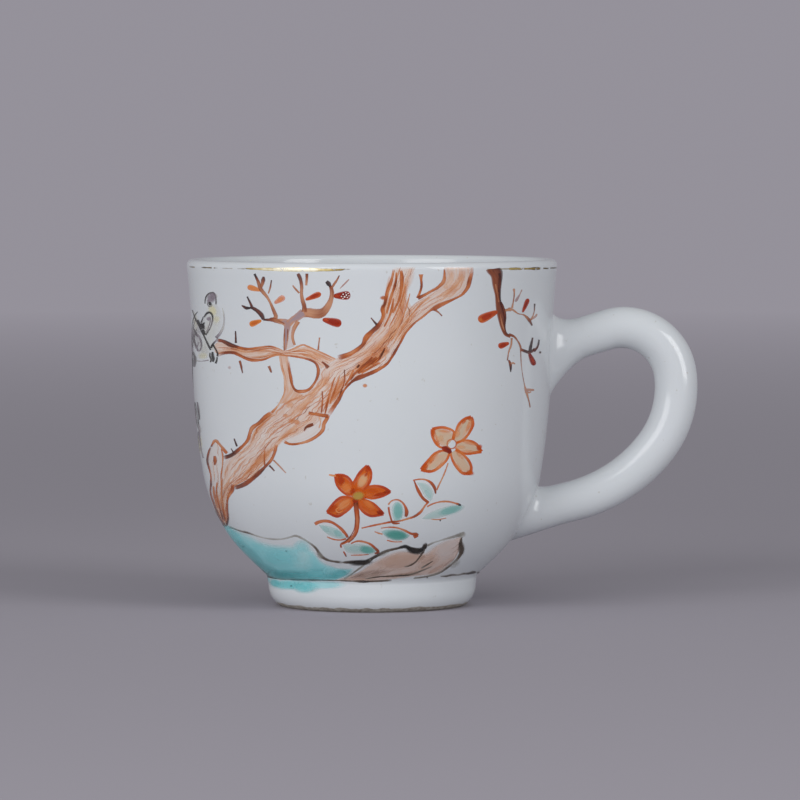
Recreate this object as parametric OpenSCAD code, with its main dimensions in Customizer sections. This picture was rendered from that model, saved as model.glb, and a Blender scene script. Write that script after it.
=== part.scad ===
/* [Bowl] */
// Height from the table to the top of the lip
cup_h = 62; // [56:0.5:70]
// Radius over the outside of the lip
rim_r = 33.15; // [30:0.05:37]
// Thickness of the wall, also of the rounded lip
wall_t = 2.2; // [1.8:0.1:2.8]
// Height at which the flare of the lip ends and the wall stands upright
waist_z = 45; // [40:0.5:50]
// Height at which the side begins to turn in
side_z = 24.3; // [21:0.1:28]
// Height at which the curve of the belly runs out into a straight cone
belly_z = 8.3; // [7:0.1:10]
// Outward lean of the wall under the lip, in degrees
lip_lean = 6; // [3:0.5:8]
// Outward lean of the wall at the waist, in degrees
waist_lean = 1; // [0:0.5:2]
// Outward lean of the wall where the side turns in, in degrees
side_lean = 9; // [7:0.5:12]
// Outward lean of the cone under the belly, in degrees
belly_lean = 47; // [42:1:50]
// Radius of the curve between the inner wall and the floor
floor_bend_r = 6; // [4:0.5:9]
// Thickness of the floor in the middle
floor_t = 4.1; // [3:0.1:5]

/* [Foot] */
// Height of the foot ring, up to the crease under the bowl
foot_h = 5.4; // [4.6:0.1:6]
// Height at which the outside of the foot begins to round under
foot_round_z = 3.2; // [2.4:0.1:3.8]
// Inward lean of the outside of the foot, in degrees
foot_lean = 5; // [0:1:8]
// Lean at which the rounding of the foot meets the table, in degrees
foot_end_lean = 62; // [50:1:75]
// Width of the flat ring that the cup rests on
foot_rest_w = 1.8; // [1.2:0.1:2.4]
// Rounding of the inner edge of the resting ring
foot_edge_r = 0.5; // [0.3:0.1:0.8]
// Radius of the corner in the recess under the cup
recess_bend_r = 1.2; // [0.8:0.1:2]

/* [Handle] */
// Diameter of the handle at the middle of its bends
handle_d = 7.7; // [6.6:0.1:8.6]
// Diameter of the handle at its ends
handle_end_d = 7.2; // [6:0.1:8]
// Height at which the middle of the handle leaves the wall at the top
handle_top_z = 46.3; // [44:0.1:49]
// Length of the straight run out of the wall at the top
handle_top_run = 10.3; // [8:0.1:13]
// Rise of the top run, in degrees from level
handle_rise = 17; // [10:1:22]
// Bend radius of the middle of the handle over its top
handle_top_bend = 9.5; // [8:0.1:11]
// Bend radius of the middle of the handle down its back
handle_back_bend = 17.5; // [15:0.1:20]
// Bend radius of the middle of the handle at its underside
handle_low_bend = 26.8; // [23:0.1:30]
// Heading of the handle where the top bend ends, in degrees
handle_back_heading = -81; // [-85:1:-76]
// Heading of the handle where the back bend ends, in degrees
handle_low_heading = -127.5; // [-131:0.5:-124]
// Heading of the handle where it runs back to the wall, in degrees
handle_end_heading = -165.5; // [-168:0.5:-163]

/* [Slip joints] */
// How far the slip spreads over the wall above the top end of the handle
top_joint_up = 3; // [2:0.1:4]
// How far the slip spreads over the wall below the top end of the handle
top_joint_down = 5.5; // [4:0.1:7]
// How far the slip spreads to each side of the top end of the handle
top_joint_side = 2.4; // [1.5:0.1:3.5]
// How far the slip at the top reaches out along the handle
top_joint_reach = 6; // [4:0.1:8]
// How far the slip spreads over the wall above the lower end of the handle
low_joint_up = 2.6; // [1.8:0.1:3.5]
// How far the slip spreads over the wall below the lower end of the handle
low_joint_down = 1; // [0.6:0.1:1.6]
// How far the slip spreads to each side of the lower end of the handle
low_joint_side = 2; // [1.2:0.1:3]
// How far the slip at the lower end reaches out along the handle
low_joint_reach = 6; // [4:0.1:8]

/* [Decoration] */
// Thickness of the enamel painting on the glaze
enamel_t = 0.12; // [0.08:0.02:0.2]
// Clearance between the enamel painting and the curve of the wall
glaze_gap = 0.01; // [0.01:0.005:0.03]
// Width of the gilt line round the lip
gilt_w = 0.45; // [0.3:0.05:0.8]
// Thickness of the gilt line
gilt_t = 0.05; // [0.04:0.01:0.1]
// Distance of the gilt line below the top of the lip
gilt_drop = 1.5; // [1.2:0.05:1.8]

/* [Hidden] */
$fn = 360;

// Outline of the wall. A knot is [radius, height, lean], and a wall that leans by an angle
// has its outward normal that far below level.
function normal(lean) = [cos(lean), -sin(lean)];
function bend_r(top, low) = (top[1] - low[1]) / (sin(low[2]) - sin(top[2]));
function knot_below(top, z, lean) =
    [top[0] + (top[1] - z) / (sin(lean) - sin(top[2])) * (cos(lean) - cos(top[2])), z, lean];
function moved(knot, out) =
    [knot[0] + out * cos(knot[2]), knot[1] - out * sin(knot[2]), knot[2]];

lip_r = wall_t / 2;
lip_mid = [rim_r - lip_r, cup_h - lip_r];
lip_knot = [lip_mid[0] + lip_r * cos(lip_lean), lip_mid[1] - lip_r * sin(lip_lean), lip_lean];
waist_knot = knot_below(lip_knot, waist_z, waist_lean);
side_knot = knot_below(waist_knot, side_z, side_lean);
belly_knot = knot_below(side_knot, belly_z, belly_lean);
crease_r = belly_knot[0] - (belly_z - foot_h) * tan(belly_lean);
flare_r = bend_r(lip_knot, waist_knot);
side_r = bend_r(waist_knot, side_knot);
belly_r = bend_r(side_knot, belly_knot);

// Inside of the bowl, one wall thickness in from the outside
lip_in = moved(lip_knot, -wall_t);
waist_in = moved(waist_knot, -wall_t);
side_in = moved(side_knot, -wall_t);
belly_in = moved(belly_knot, -wall_t);
floor_z = belly_in[1] - floor_bend_r * (1 - sin(belly_lean));
floor_r = belly_in[0] - floor_bend_r * cos(belly_lean);

// Foot ring and the recess inside it
foot_side_r = crease_r - (foot_h - foot_round_z) * tan(foot_lean);
foot_round_r = foot_round_z / (sin(foot_end_lean) - sin(foot_lean));
rest_r = foot_side_r - foot_round_r * (cos(foot_lean) - cos(foot_end_lean));
rest_in_r = rest_r - foot_rest_w;
recess_z = floor_z - floor_t;
recess_r = rest_in_r - foot_edge_r;

// A flat outline with true arcs. Each corner is [x, y, bend], and bend is the radius of the
// arc to the next corner: 0 for a straight side, more for one that bulges out of the shape,
// less for one that is hollow. Corners run anticlockwise.
module bent_outline(corners) {
    count = len(corners);
    difference() {
        union() {
            polygon([for (c = corners) [c[0], c[1]]]);
            for (i = [0 : count - 1])
                if (corners[i][2] > 0) arc_cap(corners[i], corners[(i + 1) % count]);
        }
        for (i = [0 : count - 1])
            if (corners[i][2] < 0) arc_cap(corners[i], corners[(i + 1) % count]);
    }
}

module arc_cap(from, to) {
    radius = abs(from[2]);
    a = [from[0], from[1]];
    b = [to[0], to[1]];
    span = norm(b - a);
    out = sign(from[2]) * [b[1] - a[1], a[0] - b[0]] / span;
    middle = (a + b) / 2 - out * sqrt(radius * radius - span * span / 4);
    intersection() {
        translate(middle) circle(radius);
        polygon([a, b, b + out * span, a + out * span]);
    }
}

function corner(knot, bend) = [knot[0], knot[1], bend];

// The clay of the bowl and its turned foot, as one half section
module bowl_section() {
    bent_outline([
        [0, recess_z, 0],
        [recess_r - recess_bend_r, recess_z, -recess_bend_r],
        [recess_r, recess_z - recess_bend_r, 0],
        [recess_r, foot_edge_r, foot_edge_r],
        [rest_in_r, 0, 0],
        [rest_r, 0, foot_round_r],
        [foot_side_r, foot_round_z, 0],
        [crease_r, foot_h, 0],
        corner(belly_knot, belly_r),
        corner(side_knot, side_r),
        corner(waist_knot, flare_r),
        corner(lip_knot, lip_r),
        [lip_mid[0], cup_h, lip_r],
        corner(lip_in, wall_t - flare_r),
        corner(waist_in, wall_t - side_r),
        corner(side_in, wall_t - belly_r),
        corner(belly_in, -floor_bend_r),
        [floor_r, floor_z, 0],
        [0, floor_z, 0]
    ]);
}

// The same outside with nothing hollow, to cut what is fitted to the wall
module bowl_outside() {
    rotate_extrude()
        bent_outline([
            [0, foot_h, 0],
            [crease_r, foot_h, 0],
            corner(belly_knot, belly_r),
            corner(side_knot, side_r),
            corner(waist_knot, flare_r),
            corner(lip_knot, 0),
            [0, lip_knot[1], 0]
        ]);
}

module bowl() {
    color("ghostwhite") rotate_extrude() bowl_section();
}

// Middle line of the handle in the plane y = 0. A point is [x, z], and headings are measured
// from level, anticlockwise.
function ahead(point, heading, run) = point + run * [cos(heading), sin(heading)];
function bent(point, from, to, radius) =
    point + radius * [sin(from) - sin(to), cos(to) - cos(from)];
function knot_at(knot, radius, z) =
    let (s = sin(knot[2]) - (z - knot[1]) / radius)
    [knot[0] + radius * (sqrt(max(0, 1 - s * s)) - cos(knot[2])), z, asin(s)];
function wall_knot(z) =
    z > waist_z ? knot_at(waist_knot, flare_r, z)
    : z > side_z ? knot_at(side_knot, side_r, z)
    : knot_at(belly_knot, belly_r, z);
function wall_at(z) = wall_knot(z)[0];

top_root = [wall_at(handle_top_z), handle_top_z];
top_end = ahead(top_root, handle_rise, handle_top_run);
back_start = bent(top_end, handle_rise, handle_back_heading, handle_top_bend);
low_start = bent(back_start, handle_back_heading, handle_low_heading, handle_back_bend);
low_end = bent(low_start, handle_low_heading, handle_end_heading, handle_low_bend);

// Where the middle line comes back to the wall, found by walking it in from low_end
wall_steps = 12;
function meets_wall(point, steps) =
    let (gap = point[0] - wall_at(point[1]))
    steps == 0 ? point : meets_wall(ahead(point, handle_end_heading, gap), steps - 1);
low_root = meets_wall(low_end, wall_steps);

// The rod runs on inside the bowl, where it is cut away, as far in as the crease at each end
top_buried = (top_root[0] - crease_r) / cos(handle_rise);
low_run = (crease_r - low_end[0]) / cos(handle_end_heading);

// Rings along the handle's middle line, each [point, heading, radius]. The ends are straight
// and even, and the rod swells over its bends.
tube_sides = 24;
ring_step = 6;
// Under 1, so that the rod swells early and stays full over most of its length
swell_power = 2 / 3;
function arc_rings(from_point, from, to, radius) =
    let (count = ceil((from - to) / ring_step))
    [for (i = [1 : count])
        let (heading = from + (to - from) * i / count)
        [bent(from_point, from, heading, radius), heading, rod_r(heading)]];
function rod_r(heading) =
    let (share = (handle_rise - heading) / (handle_rise - handle_end_heading))
    (handle_end_d + (handle_d - handle_end_d) * pow(sin(180 * share), swell_power)) / 2;
handle_rings = concat(
    [[ahead(top_root, handle_rise, -top_buried), handle_rise, handle_end_d / 2]],
    [[top_end, handle_rise, handle_end_d / 2]],
    arc_rings(top_end, handle_rise, handle_back_heading, handle_top_bend),
    arc_rings(back_start, handle_back_heading, handle_low_heading, handle_back_bend),
    arc_rings(low_start, handle_low_heading, handle_end_heading, handle_low_bend),
    [[ahead(low_end, handle_end_heading, low_run), handle_end_heading, handle_end_d / 2]]
);

// One point of a ring: a turns from the upper side of the heading round towards +Y
function ring_point(point, heading, up, down, side, a) =
    let (lift = cos(a) * (cos(a) > 0 ? up : down))
    [point[0] - lift * sin(heading), side * sin(a), point[1] + lift * cos(heading)];
function ring(point, heading, up, down, side) =
    [for (j = [0 : tube_sides - 1])
        ring_point(point, heading, up, down, side, 360 * j / tube_sides)];

// Faces between two rings that start at the given points of a list
function band(first, next) =
    [for (j = [0 : tube_sides - 1])
        let (k = (j + 1) % tube_sides)
        each [[first + j, first + k, next + k], [first + j, next + k, next + j]]];

module handle_rod() {
    rings = handle_rings;
    last = (len(rings) - 1) * tube_sides;
    polyhedron(
        points = [for (r = rings) each ring(r[0], r[1], r[2], r[2], r[2])],
        faces = concat(
            [[for (j = [tube_sides - 1 : -1 : 0]) j]],
            [for (i = [0 : len(rings) - 2]) each band(i * tube_sides, (i + 1) * tube_sides)],
            [[for (j = [0 : tube_sides - 1]) last + j]]
        )
    );
}

module handle() {
    color("ghostwhite") difference() {
        handle_rod();
        bowl_outside();
    }
}

// A collar of slip round the end of the handle. It is hollow round the handle, spreads over
// the wall in a quarter round and thins out to nothing along the handle. heading points away
// from the wall, and the rings tip from the wall's own slope to square with the handle.
collar_steps = 6;
// How far the rim of the collar is sunk below the wall before it is cut flush
collar_sink = 0.12;
// How sharply the rings are drawn on to the wall towards that rim
seat_power = 3;
function seated(p, share) =
    let (on_wall = sqrt(pow(wall_at(p[2]), 2) - pow(p[1], 2)) - collar_sink)
    [p[0] + share * (on_wall - p[0]), p[1], p[2]];
function collar_ring(root, heading, tilt, run, swell, spread) =
    let (
        rod = handle_end_d / 2,
        along = rod / cos(tilt * swell),
        flat_ring = ring(ahead(root, heading, run), heading + tilt * swell,
            along + spread[0] * swell, along + spread[1] * swell, rod + spread[2] * swell)
    )
    [for (p = flat_ring) seated(p, pow(swell, seat_power))];
function shifted(pts, heading, run) =
    [for (p = pts) [p[0] + run * cos(heading), p[1], p[2] + run * sin(heading)]];
module slip_collar(root, heading, spread, reach) {
    rod = handle_end_d / 2;
    tilt = -wall_knot(root[1])[2] - heading;
    turns = [for (i = [0 : collar_steps]) 90 * i / collar_steps];
    rings = [for (t = turns)
        collar_ring(root, heading, tilt, reach * (1 - cos(t)), 1 - sin(t), spread)];
    buried_out = shifted(rings[0], heading, -rod);
    buried_in = ring(ahead(root, heading, -rod), heading + tilt, rod / cos(tilt),
        rod / cos(tilt), rod);
    count = collar_steps + 3;
    difference() {
        polyhedron(
            points = concat(buried_out, [for (r = rings) each r], buried_in),
            faces = [for (i = [0 : count - 1])
                each band(i * tube_sides, (i + 1) % count * tube_sides)]
        );
        bowl_outside();
    }
}

module upper_slip_joint() {
    color("ghostwhite")
        slip_collar(top_root, handle_rise, [top_joint_up, top_joint_down, top_joint_side],
            top_joint_reach);
}

module lower_slip_joint() {
    color("ghostwhite")
        slip_collar(low_root, handle_end_heading + 180,
            [low_joint_up, low_joint_down, low_joint_side], low_joint_reach);
}

// The worn gilt line, in stretches of angle measured from -Y towards +X
gilt_stretch_shares = [[-0.62, -0.04], [0.27, 0.5], [0.58, 0.8], [0.86, 1.2]];
module rim_gilding() {
    tilt = asin((gilt_drop - lip_r) / lip_r);
    half = asin(gilt_w / 2 / lip_r);
    outer = lip_r + gilt_t;
    color("goldenrod")
        for (s = gilt_stretch_shares)
            rotate(90 * s[0] - 90)
                rotate_extrude(angle = 90 * (s[1] - s[0]))
                    translate(lip_mid) difference() {
                        intersection() {
                            circle(outer);
                            polygon([
                                [0, 0],
                                2 * outer * normal(tilt + half),
                                2 * outer * normal(tilt - half)
                            ]);
                        }
                        circle(lip_r);
                    }
}

// The painting. Its places are pixel coordinates of the photograph, read off by hand as
// [x, y], with a width in pixels as a third number where it is a stroke. axis_px and table_px
// say where the cup's axis and the table stand in the photograph.
axis_px = 371.9;
table_px = 606;
rim_half_px = 185.4;
cup_h_px = 346.8;
// How much larger the nearest point of the lip shows than the cup's outline
near_share = 0.035;
// Height of the eye over the table, in cup heights
eye_share = 1.35;
function flat_place(p) = [(p[0] - axis_px) / rim_half_px * rim_r,
    (table_px - p[1]) / cup_h_px * cup_h];
function place(p) =
    let (
        flat = flat_place(p),
        r = wall_at(flat[1]),
        near = near_share * sqrt(max(0, r * r - flat[0] * flat[0])) / rim_r,
        eye_z = eye_share * cup_h
    )
    [flat[0] * (1 - near), eye_z + (flat[1] - eye_z) * (1 - near)];

// The top of the painting, just under the gilt line, and steps up the wall to it, small enough
// for their chords to stay within the clearance under the enamel
paint_top = knot_at(waist_knot, flare_r, cup_h - gilt_drop - gilt_w);
belly_steps = 16;
side_steps = 8;
flare_steps = 6;
function steps_up(low, top, radius, count) =
    [for (i = [0 : count - 1]) knot_at(low, radius, low[1] + (top[1] - low[1]) * i / count)];
paint_knots = concat(
    steps_up(belly_knot, side_knot, belly_r, belly_steps),
    steps_up(side_knot, waist_knot, side_r, side_steps),
    steps_up(waist_knot, paint_top, flare_r, flare_steps),
    [paint_top]
);
function paint_line(out) = concat(
    [[crease_r + out / cos(belly_lean), foot_h]],
    [for (k = paint_knots) xy(moved(k, out))]
);
function reversed(pts) = [for (i = [len(pts) - 1 : -1 : 0]) pts[i]];

// Enamel on the side of the cup that faces -Y, in the flat shape of its children
module enamel() {
    intersection() {
        rotate_extrude()
            polygon(concat(paint_line(glaze_gap), reversed(paint_line(glaze_gap + enamel_t))));
        rotate([90, 0, 0]) linear_extrude(rim_r + wall_t) children();
    }
}

// A filled patch, with its corners softened by one round of corner cutting
corner_share = 0.25;
function softened(pts) =
    [for (i = [0 : len(pts) - 1])
        let (p = pts[i], q = pts[(i + 1) % len(pts)])
        each [p + (q - p) * corner_share, q + (p - q) * corner_share]];
module patch(pts) {
    polygon([for (p = softened(pts)) place(p)]);
}

// A brush stroke along a list of [x, y, width]
function xy(p) = [p[0], p[1]];
function across(pts, i) =
    let (
        run = xy(pts[min(i + 1, len(pts) - 1)]) - xy(pts[max(i - 1, 0)]),
        unit = run / norm(run)
    )
    [-unit[1], unit[0]] * pts[i][2] / 2;
module stroke(pts) {
    last = len(pts) - 1;
    polygon([
        for (i = [0 : last]) place(xy(pts[i]) + across(pts, i)),
        for (i = [last : -1 : 0]) place(xy(pts[i]) - across(pts, i))
    ]);
}

// A petal, bud or leaf from its base to its tip, as [base x, base y, tip x, tip y, width]
petal_shape_shares = [[0, 0.12], [0.18, 0.34], [0.4, 0.48], [0.62, 0.48], [0.83, 0.28], [1, 0]];
module petal(p) {
    base = [p[0], p[1]];
    run = [p[2], p[3]] - base;
    side = [-run[1], run[0]] / norm(run) * p[4];
    last = len(petal_shape_shares) - 1;
    polygon([
        for (s = petal_shape_shares) place(base + run * s[0] + side * s[1]),
        for (i = [last - 1 : -1 : 0])
            let (s = petal_shape_shares[i]) place(base + run * s[0] - side * s[1])
    ]);
}

trunk_px = [[472, 266], [471, 286], [456, 300], [430, 312], [412, 327], [400, 351], [380, 369],
    [356, 379], [338, 395], [326, 418], [324, 433], [314, 442], [286, 444], [272, 455],
    [262, 472], [240, 486], [228, 497], [226, 511], [226, 526], [222, 522], [216, 504],
    [209, 476], [209, 455], [213, 441], [222, 445], [228, 458], [245, 446], [254, 427],
    [272, 409], [284, 398], [304, 380], [321, 363], [335, 357], [352, 351], [361, 342],
    [374, 328], [381, 311], [389, 293], [394, 266], [416, 266], [419, 290], [444, 266]];
branch_px = [[345, 358], [318, 351], [296, 348], [258, 347], [233, 344], [220, 341], [220, 352],
    [233, 353], [251, 358], [275, 356], [283, 357], [286, 384], [280, 404], [302, 393],
    [294, 384], [295, 359], [310, 358], [318, 367], [330, 366]];
twigs_px = [
    [[289, 347, 7], [290, 336, 8], [288, 323, 6]],
    [[288, 324, 6], [276, 321, 4], [263, 318, 4], [253, 307, 4], [245, 299, 2]],
    [[277, 321, 4], [274, 309, 4], [269, 297, 3], [262, 286, 3], [257, 275, 2]],
    [[290, 326, 6], [300, 315, 6], [315, 313, 6], [326, 309, 5], [333, 298, 4], [332, 284, 3],
        [336, 277, 2]],
    [[302, 315, 5], [303, 301, 4], [301, 289, 3], [306, 275, 2]],
    [[495, 268, 10], [497, 285, 8], [498, 300, 7], [500, 314, 6], [504, 327, 5], [512, 335, 4],
        [521, 344, 3], [522, 362, 2], [526, 385, 2], [529, 404, 2]],
    [[509, 334, 3], [508, 350, 3], [510, 368, 2]],
    [[500, 309, 4], [513, 313, 3], [524, 315, 3], [533, 321, 2]]
];
buds_px = [[261, 290, 248, 285, 6], [260, 321, 250, 325, 6], [274, 302, 286, 296, 7],
    [309, 299, 322, 294, 7], [336, 296, 350, 294, 9], [323, 318, 342, 326, 9],
    [497, 312, 478, 323, 11], [524, 311, 529, 298, 6], [510, 343, 498, 347, 6],
    [528, 349, 535, 366, 7]];
blossoms_px = [
    [358, 493, 369, 465, 15], [360, 495, 391, 492, 14], [359, 498, 383, 515, 14],
    [354, 497, 330, 516, 14], [354, 492, 332, 476, 14],
    [452, 440, 472, 416, 16], [448, 441, 433, 429, 17], [455, 444, 482, 452, 16],
    [453, 447, 472, 474, 16], [448, 446, 423, 471, 14]
];
leaves_px = [[349, 539, 315, 523, 15], [342, 545, 378, 552, 15], [395, 523, 397, 500, 19],
    [430, 503, 414, 484, 17], [382, 529, 417, 535, 13], [423, 517, 460, 504, 13]];
stems_px = [
    [[357, 509, 3], [357, 521, 3], [354, 533, 3], [344, 544, 2]],
    [[362, 527, 2], [380, 524, 3], [398, 525, 3], [412, 517, 3], [424, 510, 3], [430, 504, 3]],
    [[447, 463, 2], [442, 480, 2], [436, 493, 2]]
];
green_rock_px = [[228, 527], [247, 535], [275, 540], [296, 537], [309, 543], [321, 555],
    [335, 562], [356, 565], [345, 578], [310, 590], [284, 590], [262, 584], [249, 566],
    [233, 545]];
pink_rock_px = [[352, 590], [358, 574], [367, 565], [384, 553], [402, 548], [422, 552],
    [444, 543], [461, 535], [463, 549], [451, 565], [437, 576], [420, 590]];
ridge_px = [
    [[233, 529, 2], [247, 534, 2], [262, 538, 2], [276, 540, 2], [292, 536, 2], [303, 538, 3],
        [313, 546, 3], [322, 555, 3], [334, 561, 4], [346, 563, 5], [357, 563, 6], [368, 560, 6],
        [377, 555, 3], [388, 550, 3], [400, 547, 4], [410, 548, 6], [420, 550, 7],
        [429, 546, 4], [440, 543, 2], [452, 538, 2], [461, 534, 3]],
    [[463, 536, 3], [464, 545, 5], [460, 556, 4], [450, 565, 3], [440, 570, 2]]
];
bird_px = [[206, 297], [210, 293], [215, 294], [218, 300], [222, 311], [222, 326], [216, 338],
    [207, 345], [200, 350], [197, 342], [201, 328], [205, 316], [206, 306]];

module twig_strokes() {
    for (pts = twigs_px) stroke(pts);
}
module bud_shapes() {
    for (p = buds_px) petal(p);
}
module leaf_shapes() {
    for (p = leaves_px) petal(p);
}
module ridge_strokes() {
    for (pts = ridge_px) stroke(pts);
}

module tree_enamel() {
    color("tan") enamel() {
        patch(trunk_px);
        patch(branch_px);
    }
}
module twig_enamel() {
    color("sienna") enamel() difference() {
        twig_strokes();
        bud_shapes();
        patch(branch_px);
    }
}
module bud_enamel() {
    color("firebrick") enamel() bud_shapes();
}
module blossom_enamel() {
    color("coral") enamel() for (p = blossoms_px) petal(p);
}
module leaf_enamel() {
    color("mediumaquamarine")
        enamel() leaf_shapes();
}
module stem_enamel() {
    color("chocolate") enamel() difference() {
        for (pts = stems_px) stroke(pts);
        leaf_shapes();
    }
}
module green_rock_enamel() {
    color("mediumturquoise") enamel() difference() {
        patch(green_rock_px);
        ridge_strokes();
    }
}
module pink_rock_enamel() {
    color("rosybrown") enamel() difference() {
        patch(pink_rock_px);
        ridge_strokes();
    }
}
module ridge_enamel() {
    color("dimgray") enamel() ridge_strokes();
}
module bird_enamel() {
    color("lightgray") enamel() difference() {
        patch(bird_px);
        patch(branch_px);
    }
}

tree_enamel();
twig_enamel();
bud_enamel();
blossom_enamel();
leaf_enamel();
stem_enamel();
green_rock_enamel();
pink_rock_enamel();
ridge_enamel();
bird_enamel();
bowl();
handle();
upper_slip_joint();
lower_slip_joint();
rim_gilding();
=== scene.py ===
"""The looks of a small handled porcelain cup, from its thrown bowl to its painting and gilding."""

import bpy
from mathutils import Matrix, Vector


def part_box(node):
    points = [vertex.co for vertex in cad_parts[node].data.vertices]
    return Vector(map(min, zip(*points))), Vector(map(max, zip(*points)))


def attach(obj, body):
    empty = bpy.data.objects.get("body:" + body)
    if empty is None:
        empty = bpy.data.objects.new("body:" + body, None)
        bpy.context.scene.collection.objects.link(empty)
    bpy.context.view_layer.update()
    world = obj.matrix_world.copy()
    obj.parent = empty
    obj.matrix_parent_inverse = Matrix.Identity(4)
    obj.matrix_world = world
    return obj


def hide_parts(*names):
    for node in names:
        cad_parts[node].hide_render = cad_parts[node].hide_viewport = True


bl_info = {
    "name": "Handled cup",
    "version": (1, 0, 0),
    "blender": (4, 5, 0),
    "location": "3D View > Sidebar > Cup",
    "description": "Builds the glazed and painted surfaces of a handled cup round its CAD frame",
    "category": "Object",
}

import math
import random
import types

import bmesh
import bpy
from mathutils import Matrix, Vector, noise

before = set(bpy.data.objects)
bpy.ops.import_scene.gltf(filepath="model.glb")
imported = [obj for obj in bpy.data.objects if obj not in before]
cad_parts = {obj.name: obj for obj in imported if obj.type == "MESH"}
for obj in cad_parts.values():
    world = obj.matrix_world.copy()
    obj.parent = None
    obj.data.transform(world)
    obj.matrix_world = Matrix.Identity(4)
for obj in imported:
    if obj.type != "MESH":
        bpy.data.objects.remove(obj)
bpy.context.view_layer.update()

MM = 0.001
BODY = "root"
BOWL_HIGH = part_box("bowl")[1]


def length(name, description, default):
    """A property that holds a length, given in metres."""
    return bpy.props.FloatProperty(
        name=name, description=description, default=default, unit="LENGTH", precision=5
    )


def angle(name, description, degrees):
    """A property that holds an angle."""
    return bpy.props.FloatProperty(
        name=name, description=description, default=math.radians(degrees), subtype="ANGLE"
    )


def colour(name, description, default):
    """A property that holds a colour as it is written in a shader."""
    return bpy.props.FloatVectorProperty(
        name=name, description=description, default=default, size=3, min=0.0, max=1.0,
        subtype="COLOR"
    )


class CUP_PG_bowl(bpy.types.PropertyGroup):
    """Outline of the bowl and its foot"""

    height: length("Height", "From the table to the top of the lip", BOWL_HIGH.z)
    rim_r: length("Rim radius", "Radius over the outside of the lip", BOWL_HIGH.x)
    wall: length("Wall", "Thickness of the wall", 2.2 * MM)
    waist_z: length("Waist height", "Height at which the flare of the lip ends", 45 * MM)
    side_z: length("Side height", "Height at which the side begins to turn in", 24.3 * MM)
    belly_z: length("Belly height", "Height at which the belly runs out into a cone", 8.3 * MM)
    foot_h: length("Foot height", "Height of the crease between bowl and foot", 5.4 * MM)
    foot_round_z: length("Foot rounding height", "Height at which the foot rounds under", 3.2 * MM)
    rest_w: length("Rest width", "Width of the ring that the cup rests on", 1.8 * MM)
    edge_r: length("Foot edge radius", "Rounding inside the resting ring", 0.5 * MM)
    recess_z: length("Recess height", "Height of the underside within the foot", 4.2 * MM)
    recess_bend_r: length("Recess bend", "Radius of the corner in the recess", 1.2 * MM)
    floor_bend_r: length("Floor bend", "Radius between the inner wall and the floor", 6 * MM)
    lip_lean: angle("Lip lean", "Outward lean of the wall under the lip", 6)
    waist_lean: angle("Waist lean", "Outward lean of the wall at the waist", 1)
    side_lean: angle("Side lean", "Outward lean where the side turns in", 9)
    belly_lean: angle("Belly lean", "Outward lean of the cone under the belly", 47)
    foot_lean: angle("Foot lean", "Inward lean of the outside of the foot", 5)
    foot_end_lean: angle("Foot end lean", "Lean at which the foot meets the table", 62)
    wobble: length("Wobble", "How far the thrown wall strays from round", 0.05 * MM)
    steps: bpy.props.IntProperty(
        name="Steps", description="Steps of the outline round the axis", default=240, min=48
    )


class CUP_PG_handle(bpy.types.PropertyGroup):
    """Middle line and thickness of the pulled handle and its slip joints"""

    thickness: length("Thickness", "Diameter at the middle of the bends", 7.7 * MM)
    end_thickness: length("End thickness", "Diameter at the ends", 7.2 * MM)
    top_z: length("Top height", "Height at which the handle leaves the wall", 46.3 * MM)
    top_run: length("Top run", "Straight run out of the wall", 10.3 * MM)
    top_bend: length("Top bend", "Bend radius over the top", 9.5 * MM)
    back_bend: length("Back bend", "Bend radius down the back", 17.5 * MM)
    low_bend: length("Low bend", "Bend radius at the underside", 26.8 * MM)
    rise: angle("Rise", "Rise of the top run", 17)
    back_heading: angle("Back heading", "Heading where the top bend ends", -81)
    low_heading: angle("Low heading", "Heading where the back bend ends", -127.5)
    end_heading: angle("End heading", "Heading of the run back to the wall", -165.5)
    reach: length("Slip reach", "How far the slip runs out along the handle", 6 * MM)
    sides: bpy.props.IntProperty(
        name="Sides", description="Sides of the rod", default=48, min=12
    )


class CUP_PG_glaze(bpy.types.PropertyGroup):
    """Colours and finish of the porcelain"""

    white: colour("White", "Glaze over the body", (0.61, 0.635, 0.665))
    cool: colour("Cool white", "Glaze where it lies thicker", (0.57, 0.605, 0.625))
    clay: colour("Bare clay", "Bare edge of the foot", (0.42, 0.40, 0.36))
    dirt: colour("Dirt", "Dirt on the bare edge and in the pinholes", (0.20, 0.17, 0.14))
    bare_z: length("Bare edge", "Height of the bare edge of the foot", 0.75 * MM)


class CUP_PG_stage(bpy.types.PropertyGroup):
    """Camera, floor and light"""

    eye: bpy.props.FloatVectorProperty(
        name="Eye", description="Place of the camera", size=3, subtype="TRANSLATION",
        unit="LENGTH", default=(5.0 * MM, -950 * MM, 84 * MM)
    )
    pitch: angle("Pitch", "Downward tilt of the camera", 2.85)
    focal_px: bpy.props.FloatProperty(
        name="Focal length", description="In pixels of the square picture", default=5312
    )
    backdrop: colour("Backdrop", "Colour behind the cup", (0.30, 0.285, 0.325))
    sky: colour("Sky", "Soft light from all round", (0.35, 0.35, 0.36))
    floor: colour("Floor", "Colour of the floor", (0.39, 0.37, 0.415))
    fade_r: length("Fade radius", "Radius at which the floor begins to fade", 0.25)
    floor_r: length("Floor radius", "Radius at which the floor has faded out", 1.6)


PICTURE_PX = 800


def settled(name):
    """The values of a property group of the scene, read once."""
    group = getattr(bpy.context.scene, name)
    keys = type(group).__annotations__
    return types.SimpleNamespace(**{key: getattr(group, key) for key in keys})


# The wall. A knot is (radius, height, lean), and a wall that leans by an angle has its outward
# normal that far below level.

# The wall strays in waves of about this many a metre, which are flatter than they are wide
WAVES_PER_M = 18.0
WAVE_SQUEEZE = 1.7
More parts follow.
